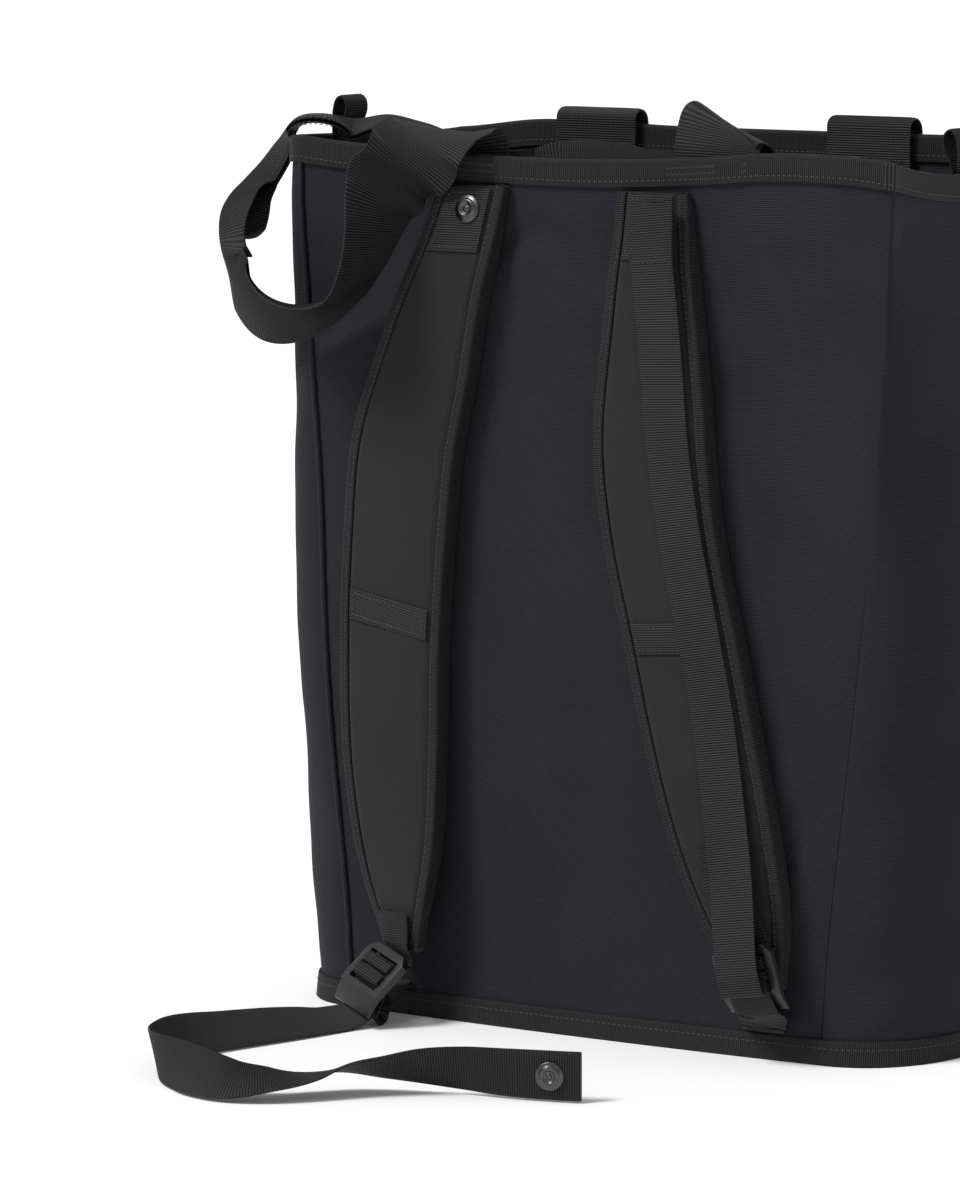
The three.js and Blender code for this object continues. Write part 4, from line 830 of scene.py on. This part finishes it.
def padPlate(name, side, start, stop, skew, slot):
    rings = []
    for down in np.linspace(start, stop, 22):
        place = padPlace(side, down)
        edge = place["half"] - pad["leg"] - pad["tape"] - 2 * body["gap"]
        shares = np.linspace(-1, 1, 25)
        rim = np.minimum((1 - np.abs(shares)) * edge, min(down - start, stop - down) * pad["length"])
        puff = 0.3 * smoothStep(rim, 0, 1.2)
        front = np.array([padPoint(side, down + skew * share * edge / pad["length"], share * edge,
                                   place["thick"] + body["gap"] + pad["patchThick"] - 0.3 + rise)
                          for share, rise in zip(shares, puff)])
        rear = np.array([padPoint(side, down + skew * share * edge / pad["length"], share * edge,
                                  place["thick"] + body["gap"]) for share in shares])
        rings.append(np.vstack([front, rear[::-1]]))
    piece = loftMesh(f"{name}_webbing", rings, cloth["webbing"])
    keepPiece(piece, slot, name)


def plateStitches(side, start, stop, skew, inset=2.4):  # a rectangle of stitches inside a plate's edges
    shares = np.linspace(-1, 1, 15)
    top, low = start + inset / pad["length"], stop - inset / pad["length"]
    walk = [(top, share) for share in shares] + [(down, 1) for down in np.linspace(top, low, 8)[1:]]
    walk += [(low, share) for share in shares[::-1][1:]]
    walk += [(down, -1) for down in np.linspace(low, top, 8)[1:]]
    line = []
    for down, share in walk:
        place = padPlace(side, down)
        edge = place["half"] - pad["leg"] - pad["tape"] - 2 * body["gap"]
        line.append(padPoint(side, down + skew * share * edge / pad["length"], share * (edge - inset),
                             place["thick"] + body["gap"] + pad["patchThick"] + 0.12))
    return running(line, np.tile((0.0, -1.0, 0.0), (len(line), 1)), 2.6)


for side in ("left", "right"):
    buildPad(side)
    buildPadTape(side)
    bandHalf = pad["bandHeight"] / 2 / pad["length"]
    padPlate(f"pad_patch_{side}", side, 0.003, pad["patchLength"] / pad["length"], 0, "webbing")
    padPlate(f"cross_band_{side}", side, pad["bandPlace"] - bandHalf, pad["bandPlace"] + bandHalf,
             pad["bandSkew"][side], "webbing")
    sew(f"plate_stitches_{side}",
        plateStitches(side, 0.003, pad["patchLength"] / pad["length"], 0)
        + plateStitches(side, pad["bandPlace"] - bandHalf, pad["bandPlace"] + bandHalf,
                        pad["bandSkew"][side]),
        "webbing")
print("shoulder pads made")


# Webbing: stations with a middle, the way across, a width and a thickness, smoothed as in the solids
def catmull(points, place, centripetal):
    points = np.asarray(points, float)
    row = np.minimum(place.astype(int), len(points) - 2)
    share = (place - row)[:, None]
    padded = np.vstack([2 * points[0] - points[1], points, 2 * points[-1] - points[-2]])
    p0, p1, p2, p3 = (padded[row + k] for k in range(4))
    if centripetal:
        gapOf = lambda a, b: np.maximum(np.linalg.norm(b - a, axis=1)**0.5, 1e-4)[:, None]
        d0, d1, d2 = gapOf(p0, p1), gapOf(p1, p2), gapOf(p2, p3)
        t1 = ((p1 - p0) / d0 - (p2 - p0) / (d0 + d1) + (p2 - p1) / d1) * d1
        t2 = ((p2 - p1) / d1 - (p3 - p1) / (d1 + d2) + (p3 - p2) / d2) * d1
    else:
        t1, t2 = 0.5 * (p2 - p0), 0.5 * (p3 - p1)
    square = -3 * p1 + 3 * p2 - 2 * t1 - t2
    cube = 2 * p1 - 2 * p2 + t1 + t2
    return p1 + t1 * share + square * share**2 + cube * share**3


def smoothWebbing(rows, spacing):
    at, across = np.array([row[0] for row in rows], float), unit([row[1] for row in rows])
    for k in range(1, len(across)):
        if across[k] @ across[k - 1] < 0:
            across[k] *= -1
    sizes = np.array([(*row[2:4], row[4] if len(row) > 4 else 0) for row in rows], float)
    place = np.linspace(0, len(rows) - 1, (len(rows) - 1) * 24 + 1)
    along = np.concatenate([[0],
                            np.cumsum(np.linalg.norm(np.diff(catmull(at, place, True), axis=0),
                                                     axis=1))])
    place = np.interp(np.linspace(0, along[-1], max(int(along[-1] / spacing), 4) + 1), along, place)
    middle = catmull(at, place, True)
    sideways = unit(catmull(across, place, False))
    way = unit(np.gradient(middle, axis=0))
    sideways = unit(sideways - way * (sideways * way).sum(1, keepdims=True))
    index = np.arange(len(rows))
    width, thick, fold = (np.interp(place, index, sizes[:, k]) for k in range(3))
    along = np.concatenate([[0], np.cumsum(np.linalg.norm(np.diff(middle, axis=0), axis=1))])
    return {"middle": middle, "across": sideways, "normal": np.cross(way, sideways), "width": width,
            "thick": thick,
            "fold": fold, "along": along, "place": place}


# The middle of its thickness at shares of half its width, and the direction of the face
def sectionAt(path, shares):
    fine = np.linspace(-1, 1, 121)
    tip = -path["fold"][:, None] * math.radians(91) * np.clip(fine / 0.1, -1, 1)
    sums = [np.concatenate([np.zeros((len(tip), 1)),
                            np.cumsum((wave[:, 1:] + wave[:, :-1]) / 120, axis=1)], 1)
            for wave in (np.cos(tip), np.sin(tip))]
    read = lambda values: np.array([np.interp(shares, fine, row) for row in values])
    acrossBy, outBy = (read(total - total[:, 60:61]) * path["width"][:, None] / 2 for total in sums)
    tipped = read(tip)
    across, normal = path["across"][:, None], path["normal"][:, None]
    return (path["middle"][:, None] + across * acrossBy[..., None] + normal * outBy[..., None],
            normal * np.cos(tipped)[..., None] - across * np.sin(tipped)[..., None])


ribStyle = {"pitch": 1.28, "depth": 0.34}


evenWidth = np.sin(np.linspace(-math.pi / 2, math.pi / 2, 9))
foldedWidth = np.array([-1, -0.95, -0.82, -0.5, -0.2, -0.1, -0.06, -0.03])
foldedWidth = np.concatenate([foldedWidth, [0], -foldedWidth[::-1]])


def webbing(name, rows, shares=evenWidth, samples=4):
    path = smoothWebbing(rows, ribStyle["pitch"] / samples)
    edge = np.minimum(1.0, 1.6 * np.sqrt(np.maximum(1 - np.abs(shares)**5, 0)))
    edge[[0, -1]] = 0.45
    rings, face = [], []
    for sign, order in ((1, shares), (-1, shares[::-1])):
        middle, normal = sectionAt(path, order)
        level = sign * (edge if sign > 0 else edge[::-1])[None, :] * path["thick"][:, None] / 2
        rings.append(middle + normal * level[..., None])
        face.append(smoothStep(1 - np.abs(order), 0.0, 0.06))
    rings = np.concatenate(rings, 1)
    count, size = rings.shape[:2]
    shareOfFace = np.tile(np.concatenate(face), (count, 1))
    shareOfFace[[0, -1]] = 0
    attributes = {"along": np.repeat(path["along"] * mm, size), "face": shareOfFace}
    piece = loftMesh(f"{name}_webbing", rings, cloth["webbing"], along=path["along"],
                     attributes=attributes)
    bakeTree(piece, ribTree, {"Rib Pitch": ribStyle["pitch"] * mm, "Rib Depth": ribStyle["depth"] * mm,
                              "Webbing": cloth["webbing"]})
    keepPiece(piece, "webbing", name)
    return path


# Places on one face of webbing, and its direction there
def faceLine(path, indices, shares, side, lift=0.15):
    indices, shares = np.broadcast_arrays(indices, shares)
    part = {key: path[key][indices] for key in ("middle", "across", "normal", "width", "thick", "fold")}
    at, normal = (np.array([values[k, k] for k in range(len(shares))]) for values in sectionAt(part, shares))
    return at + normal * (side * (part["thick"] / 2 + lift))[:, None], normal * side


def tackOn(path, index, side, reach=0.78, half=1.1):  # a bar tack across webbing
    start, normal = faceLine(path, [index, index], [-reach, reach], side)
    way = unit(path["middle"][min(index + 2, len(path["middle"]) - 1)] - path["middle"][index - 2])
    return zigzag(start[0], start[1], way * half, normal[0])


# Ladder locks
windowTop = (lock["slotTop"] + lock["slotMiddle"] + lock["slotLow"] + 2 * lock["bar"]) / 2 + 2
upperBar = windowTop - lock["slotTop"] - lock["bar"] / 2
lowerBar = upperBar - lock["bar"] - lock["slotMiddle"]
lockRim = windowTop + lock["arm"]
lockPlaces = {"left": {"x": -0.577, "out": 36, "up": 26.98, "roll": -14, "tilt": -43, "swing": -16},
              "right": {"x": 0.66, "out": 23, "up": 47.48, "roll": 10, "tilt": 10, "swing": 0}}


def lockFrame(side):
    place = lockPlaces[side]
    x = place["x"] * body["mouthWidth"] / 2
    origin = (x, float(backFace(x, place["up"])) - place["out"], place["up"])
    turn = (Matrix.Rotation(math.radians(place["swing"]), 3, "Z")
            @ Matrix.Rotation(math.pi / 2 + math.radians(place["tilt"]), 3, "X")
            @ Matrix.Rotation(math.radians(place["roll"]), 3, "Z"))
    turn = np.array(turn)
    return turn @ (1, 0, 0), lambda along, out: np.array(origin) + turn @ (0, along, out)


def buildLock(side):
    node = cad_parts[f"ladder_lock_{side}"]
    shape = bmesh.new()
    shape.from_mesh(node.data)
    bmesh.ops.remove_doubles(shape, verts=shape.verts, dist=1e-6)
    bmesh.ops.dissolve_limit(shape, angle_limit=math.radians(1), verts=shape.verts, edges=shape.edges)
    mesh = bpy.data.meshes.new(f"lock_{side}")
    shape.to_mesh(mesh)
    shape.free()
    mesh.materials.clear()
    mesh.materials.append(lockPlastic)
    piece = bpy.data.objects.new(f"lock_frame_{side}", mesh)
    bpy.context.scene.collection.objects.link(piece)
    bevel = piece.modifiers.new("rounded", "BEVEL")
    bevel.width, bevel.segments, bevel.limit_method = 0.9 * mm, 4, "ANGLE"
    bevel.angle_limit = math.radians(25)
    mesh.polygons.foreach_set("use_smooth", [True] * len(mesh.polygons))
    keepPiece(piece, "lock_plastic", f"ladder_lock_{side}")


off = body["gap"] + web["thick"] / 2
past, over = lock["bar"] / 2 + off, lock["thick"] / 2 + off
roundWay, roundOver = lock["bar"] / 2 + off * 0.72, lock["thick"] / 2 + off * 0.72
tabPlaces = {"left": (0.95, 0.97, 0.99), "right": (0.82, 0.845, 0.87)}


def webRow(at, across, thick=web["thick"], width=web["width"]):
    return (at, across, width, thick)


def buildTab(side):
    across, at = lockFrame(side)
    padAcross = padPoint(side, 1, 10, 0) - padPoint(side, 1, -10, 0)
    padAcross = unit(padAcross)
    rows = [webRow(padPoint(side, down, 0, padPlace(side, down)["thick"] + off + 1.3 + 0.7 * index),
                   padAcross + (across - padAcross) * 0.3 * index) for index,
                   down in enumerate(tabPlaces[side])]
    rows += [webRow(at(along, out), across) for along, out in (
        (lockRim, -over - 2.5), (windowTop, -over - 1.6), (upperBar + 3.2, -1.6), (upperBar + past, 1),
        (upperBar + roundWay, roundOver), (upperBar, over), (upperBar - roundWay, roundOver),
        (upperBar - past, 1),
        (upperBar - past, -1.2), (upperBar - roundWay - 0.2, -roundOver - 0.3))]
    return webbing(f"buckle_tab_{side}", rows)


def anchorRows(side, entry):
    x = (-1 if side == "left" else 1) * web["anchorSpacing"] / 2
    low = tape["baseHeight"] + 1.5
    face = min(float(backFace(x + end * web["width"] / 2, low + 3)) for end in (-1, 0, 1))
    foot = np.array((x, face - off - body["gap"], low))
    bend = np.array((x, foot[1] - 1.5, low + 3))
    return [webRow(place, (1, 0, 0)) for place in (foot, bend, bend + (entry - bend) * 0.3,
                                                   bend + (entry - bend) * 0.65)]


def floorPlace(along):
    row = readTable(floorTable, along)
    return np.array((float(row["x"]) * web["floorSpan"] - web["anchorSpacing"] / 2,
                     float(row["y"]) * web["floorSpan"] - body["footDepth"] / 2))


def floorRows():
    rows = []
    for along in np.linspace(0, 1, 22):
        row = readTable(floorTable, along)
        ahead = floorPlace(along + 0.01) - floorPlace(along - 0.01)
        way, tip = math.atan2(ahead[1], ahead[0]), math.radians(float(row["lean"]))
        across = (-math.sin(way) * math.sin(tip), math.cos(way) * math.sin(tip), math.cos(tip))
        height = web["width"] / 2 * (abs(math.cos(tip)) + max(float(row["hover"]),
                                                              0)) + web["thick"] / 2 + body["gap"]
        doubled = (1 - along) * web["floorSpan"] * 1.85 < web["foldedEnd"]
        rows.append(webRow((*floorPlace(along), height), across,
                           web["thick"] * (2.1 if doubled else 1)))
    return rows


snapTop = snap["height"] * 0.75
tailRaise = 2 * (snapTop + body["gap"]) + web["thick"] * 0.55 + 0.4


def buildLeftTail():
    across, at = lockFrame("left")
    bar = lowerBar
    threaded = [webRow(at(along, out), across) for along, out in (
        (bar - 14, -12), (bar - 7, -8), (bar - 2, -5), (bar + 0.8, -over - 0.6),
        (bar + roundWay + 0.1, -roundOver),
        (bar + past + 0.1, -1.2), (bar + past, 1), (bar + roundWay, roundOver), (bar, over),
        (bar - roundWay, roundOver), (bar - past - 0.4, 0.8), (bar - past - 1.1, -1.2),
        (bar - 5.6, -over - 0.5),
        (bar - 10, -5.6), (bar - 16, -8.4))]
    return webbing("strap_tail_left", [*anchorRows("left", threaded[0][0]), *threaded, *floorRows()])


def buildRightTail():
    across, at = lockFrame("right")
    bar = lowerBar
    threaded = [webRow(at(along, out), across) for along, out in (
        (bar - 22.8, -4), (bar - 19.6, -0.6), (bar - 12, 2.1), (bar - 7, over + 0.2),
        (bar - 5, over - 0.3),
        (bar - 3.7, 1), (bar - past, -1.2), (bar - roundWay, -roundOver), (bar, -over),
        (bar + roundWay, -roundOver),
        (bar + past, -1), (bar + past, 1), (bar + roundWay, roundOver), (bar - 0.3, over + 0.2),
        (bar - 4.5, 5.2),
        (bar - 7.5, 7), (bar - 6.5, 9), (bar - 2, 9.6), (bar + 6, 9.4))]
    rows = []
    for down in np.linspace(0.85, 0.012, 13):
        row, place = readTable(tailOnPad, down), padPlace("right", down)
        thick = web["thick"] * (2.1 if down * pad["length"] < web["foldedEnd"] else 1)
        level = place["thick"] + pad["patchThick"] + 2 * body["gap"] + off + float(row["raised"]) * tailRaise
        x = float(row["middle"]) * body["mouthWidth"] / 2
        rows.append(webRow((x, float(backFace(x, place["z"]) - place["outAt"](x) - level),
                            float(place["z"])),
                           (1, 0, 0.1), thick))
    return webbing("strap_tail_right", [*anchorRows("right", threaded[0][0]), *threaded, *rows])


for side in ("left", "right"):
    buildLock(side)
    buildTab(side)
leftTail, rightTail = buildLeftTail(), buildRightTail()
print("locks and straps made")


# Snaps: turned caps with a rolled flange, a raised ring and a stud
def buildSnap(name, node, at, out):
    radius = snap["diameter"] / 2
    profile = [(0.0, 0.0), (radius * 0.96, 0.0), (radius, 0.12), (radius, 0.38), (radius * 0.95, 0.52),
               (radius * 0.78, 0.72), (radius * 0.72, 1.0), (radius * 0.69, 1.5),
               (radius * 0.65, snapTop - 0.05),
               (radius * 0.58, snapTop), (radius * 0.48, snapTop - 0.02),
               (radius * 0.42, snapTop - 0.25),
               (radius * 0.38, 1.0), (radius * 0.33, 0.88), (radius * 0.23, 0.88), (radius * 0.2, 1.0),
               (radius * 0.19, snap["height"] * 0.6), (radius * 0.15, snap["height"] * 0.69),
               (radius * 0.06, snap["height"] * 0.7), (0.0, snap["height"] * 0.7)]
    turn = Vector((0, 0, 1)).rotation_difference(Vector(out)).to_matrix()
    shape = bmesh.new()
    rims = []
    for angle in np.linspace(0, 2 * math.pi, 48, endpoint=False):
        rims.append([shape.verts.new((turn @ Vector((r * math.cos(angle), r * math.sin(angle),
                                                     h)) + Vector(at)) * mm)
                     for r, h in profile])
    for here, there in zip(rims, rims[1:] + rims[:1]):
        for k in range(len(profile) - 1):
            shape.faces.new((here[k], there[k], there[k + 1], here[k + 1]))
    bmesh.ops.remove_doubles(shape, verts=shape.verts, dist=1e-7)
    bmesh.ops.dissolve_degenerate(shape, edges=shape.edges, dist=1e-7)
    bmesh.ops.recalc_face_normals(shape, faces=shape.faces)
    mesh = bpy.data.meshes.new(name)
    shape.to_mesh(mesh)
    shape.free()
    mesh.polygons.foreach_set("use_smooth", [True] * len(mesh.polygons))
    mesh.materials.append(snapMetal)
    piece = bpy.data.objects.new(name, mesh)
    bpy.context.scene.collection.objects.link(piece)
    keepPiece(piece, "snap_metal", node)


def padSnap(side, x, down):
    surface = lambda place, offset: padPoint(side, place,
                                             x * body["mouthWidth"] / 2 - padPlace(side, place)["middle"]
                                             + offset, padPlace(side, place)["thick"])
    way = surface(down + 0.015, 0) - surface(down - 0.015, 0)
    out = unit(np.cross(way, surface(down, 5) - surface(down, -5)))
    foot = pad["patchThick"] + 2 * body["gap"] + 0.25
    buildSnap(f"press_stud_pad_{side}", f"pad_snap_{side}", surface(down, 0) + out * foot, out)
    return out, surface(down, 0) + out * (foot + 2 * snapTop + body["gap"])


padSnap("left", -0.29, 0.03)
out, top = padSnap("right", 0.362, 0.045)
buildSnap("press_stud_tail_right", "tail_snap_right", top, -out)
snapAlong = 1 - web["foldedEnd"] * 0.4 / (web["floorSpan"] * 1.85)
ahead = unit(floorPlace(snapAlong + 0.01) - floorPlace(snapAlong - 0.01))
tailFace = np.array((ahead[1], -ahead[0], 0.0))
endPlace = np.array((*floorPlace(snapAlong), (web["width"] + web["thick"]) / 2 + body["gap"]))
buildSnap("press_stud_tail_left", "tail_snap_left",
          endPlace + tailFace * (web["thick"] * 1.05 + 2 * body["gap"] + 0.4), tailFace)
print("snaps made")


# Handles and side loops
def buildBackHandle():
    rows = [((x * body["mouthWidth"] / 2, y * body["mouthDepth"] / 2,
              body["height"] + z * handle["width"]), (i, j, k),
             handle["width"], handle["thick"], fold) for x, y, z, i, j, k, fold in handleStations]
    path = webbing("handle_back", rows, foldedWidth, 3)
    folded = np.flatnonzero(path["fold"] > 0.93)[::4]
    sewn = []
    for share in (-0.86, 0.86):
        line, normals = faceLine(path, folded, np.full(len(folded), share), 1)
        sewn += running(line, normals, 2.8)
    sew("back_handle_grip_stitches", sewn, "webbing")
    return path


def buildFrontHandle():
    left, right, half, row = seams(1.0)
    middle = (left + right) / 2 - handle["width"] * 0.09
    outward = body["mouthDepth"] / 2 + row["bulge"] * body["bulge"]
    outward += tape["thick"] + 3 * body["gap"] + handle["thick"] / 2
    inward = body["mouthDepth"] / 2 - body["wall"] - tape["thick"] - 2 * body["gap"] - handle["thick"]
    level = body["height"] + body["mouthWave"] * 0.6
    row = lambda x, y, z, across, fold: ((x, y, z), across, handle["width"] * (1 - fold / 2),
                                         handle["thick"] * (1 + 1.1 * fold))

    def leg(sign):
        x = middle + sign * handle["spacing"] / 2
        return [row(x, y, z, (-1, 0, 0), 0) for y, z in (
            (inward, level - handle["root"]), (inward, level - 4),
            (inward + 0.5, level + handle["crest"] * 0.6),
            ((inward + outward) / 2, level + handle["crest"]),
            (outward - 0.5, level + handle["crest"] * 0.5),
            (outward, level - tape["mouthHeight"] - 4))]

    radius, bend, swing = handle["spacing"] / 2, body["height"] - handle["hang"], handle["width"] * 0.34
    middleZ = bend + handle["hang"] * 0.5
    rows = leg(1) + [row(middle + radius, outward + 0.5, middleZ, (-1, 0, 0), 0.1)]
    for angle in np.linspace(0, math.pi, 7):
        turned = math.sin(angle)
        rows.append(row(middle + radius * math.cos(angle), outward + 1 + swing * turned,
                        bend - radius * math.sin(angle),
                        (-(1 - turned), turned, 0), 0.4 + 0.6 * turned))
    rows += [row(middle - radius, outward + 0.5, middleZ, (-1, 0, 0), 0.1)] + leg(-1)[::-1]
    return webbing("handle_front", rows)


def buildSideLoop(side):
    left, right, half, row = seams(1.0)
    reach = body["endReach"] * (row["rightReach"] if side == "right" else row["leftReach"])
    x, inwards = (right + reach, -1) if side == "right" else (left - reach, 1)
    base = x + inwards * (body["wall"] + tape["thick"] + 8 * body["gap"] + loop["thick"] / 2)
    level = body["height"] + float(mouthRise(1.6 if side == "right" else 3.6))
    y, high, deep = loop["place"][side] * body["mouthDepth"] / 2, loop["height"], tape["mouthHeight"]
    rows = [((base + inwards * out, y, level + up), (0, 1, 0), loop["width"], loop["thick"]) for out,
            up in (
        (0, -deep), (0, 2), (0, high * 0.5), (2, high * 0.9), (5, high), (8, high * 0.88),
        (8.5, high * 0.6),
        (5, high * 0.2), (3, -2), (2.4, -deep))]
    return webbing(f"side_loop_{side}", rows)


buildBackHandle()
frontHandle = buildFrontHandle()
for side in ("left", "right"):
    buildSideLoop(side)
print("handles and loops made")


# Bar tacks where the handles and tails are sewn down, and the cord under the left seam
def facing(path, index, way):
    return 1 if path["normal"][index] @ np.asarray(way, float) > 0 else -1


def sewTacks():
    near = loopAt(mouthTapeFoot + (1 - mouthTapeFoot) * 0.45,
                  body["gap"] + tape["thick"] + 0.15)[:steps["panel"] + 1]
    rows = []
    for middle in (handleStations[0][0], handleStations[-1][0]):
        ends = middle * body["mouthWidth"] / 2 + np.array((-0.5, 0.5)) * handle["width"] * 0.94
        line = np.stack([np.interp(ends, near[:, 0], near[:, axis]) for axis in range(3)], 1)
        for higher in (0, 3.4):
            rows += zigzag(line[0] + (0, 0, higher), line[1] + (0, 0, higher), (0, 0, 1.0), (0, -1, 0),
                           1.2)
    sew("mouth_binding_tacks", rows, "tape")
    rows = []
    inside = np.flatnonzero(np.abs(frontHandle["middle"][:, 2] - (body["height"] - 9)) < 0.35)
    for index in (inside[0], inside[-1]):
        rows += tackOn(frontHandle, index, facing(frontHandle, index, (0, -1, 0)), 0.88)
    index = int(np.argmin(np.abs(rightTail["middle"][:, 2] - 409) + 1e3 * (rightTail["place"] < 20)))
    rows += tackOn(rightTail, index, facing(rightTail, index, (0, -1, 0)))
    index = int(np.searchsorted(leftTail["along"], leftTail["along"][-1] - web["foldedEnd"] + 4))
    rows += tackOn(leftTail, index, facing(leftTail, index, (0, -1, 0)), 0.8, 0.5)
    sew("webbing_tacks", rows, "webbing")


def seamCord():
    rings = []
    for up in np.linspace(baseTapeTop, mouthTapeFoot, 150):
        here, beside = loopAt(up, 0.1)[0], loopAt(up, 0.1)[1]
        out = unit(np.array((beside[1] - here[1], here[0] - beside[0], 0.0)) + (here - beside) * 0.4)
        if out[1] > 0:
            out = -out
        wander = 0.15 * math.sin(up * 160) + 0.25 * math.sin(up * 23)
        turns = np.linspace(0, 2 * math.pi, 12, endpoint=False)
        side = np.array((-out[1], out[0], 0.0))
        bead = np.outer(np.cos(turns), side) * 1.7 + np.outer(np.sin(turns), out) * 1.5
        rings.append(here + out * 0.2 + bead + side * wander)
    piece = loftMesh("left_seam_cord", rings, cloth["bodyCloth"])
    keepPiece(piece, "body_cloth")


sewTacks()
seamCord()
print("tacks and seam cord made")


# Floor, light and camera
def makeStage():
    mesh = bpy.data.meshes.new("floor")
    mesh.from_pydata([(-60, -60, 0), (60, -60, 0), (60, 60, 0), (-60, 60, 0)], [], [(0, 1, 2, 3)])
    floor = bpy.data.objects.new("floor", mesh)
    bpy.context.scene.collection.objects.link(floor)
    material, shader = newMaterial("paleFloor", 0.9, specular=0.2)
    shader.inputs["Base Color"].default_value = (0.97, 0.97, 0.97, 1)
    mesh.materials.append(material)
    world = bpy.data.worlds.new("softRoom")
    bpy.context.scene.world = world
    world.use_nodes = True
    world.node_tree.nodes["Background"].inputs[0].default_value = (1, 1, 1, 1)
    world.node_tree.nodes["Background"].inputs[1].default_value = 0.56
    light = bpy.data.lights.new("keyLight", "SUN")
    light.energy, light.angle = 2.6, math.radians(18)
    lamp = bpy.data.objects.new("keyLight", light)
    lamp.rotation_euler = Vector((0.42, 0.78, -1.05)).to_track_quat("-Z", "Y").to_euler()
    bpy.context.scene.collection.objects.link(lamp)
    bpy.context.scene.view_settings.view_transform = "Standard"


view = {"place": (1796.3, -2857.1, 650.0), "heading": 33.62, "pitch": 7.23, "focal": 6460,
        "imageHeight": 1200}


def makeCamera():
    heading, pitch = math.radians(view["heading"]), math.radians(view["pitch"])
    way = Vector((-math.sin(heading) * math.cos(pitch), math.cos(heading) * math.cos(pitch),
                  -math.sin(pitch)))
    camera = bpy.data.cameras.new("camera")
    camera.sensor_width = 36
    camera.lens = view["focal"] / view["imageHeight"] * camera.sensor_width
    camera.clip_end = 300
    holder = bpy.data.objects.new("camera", camera)
    holder.location = Vector(view["place"]) * mm
    holder.rotation_euler = way.to_track_quat("-Z", "Y").to_euler()
    bpy.context.scene.collection.objects.link(holder)
    bpy.context.scene.camera = holder


makeStage()
makeCamera()
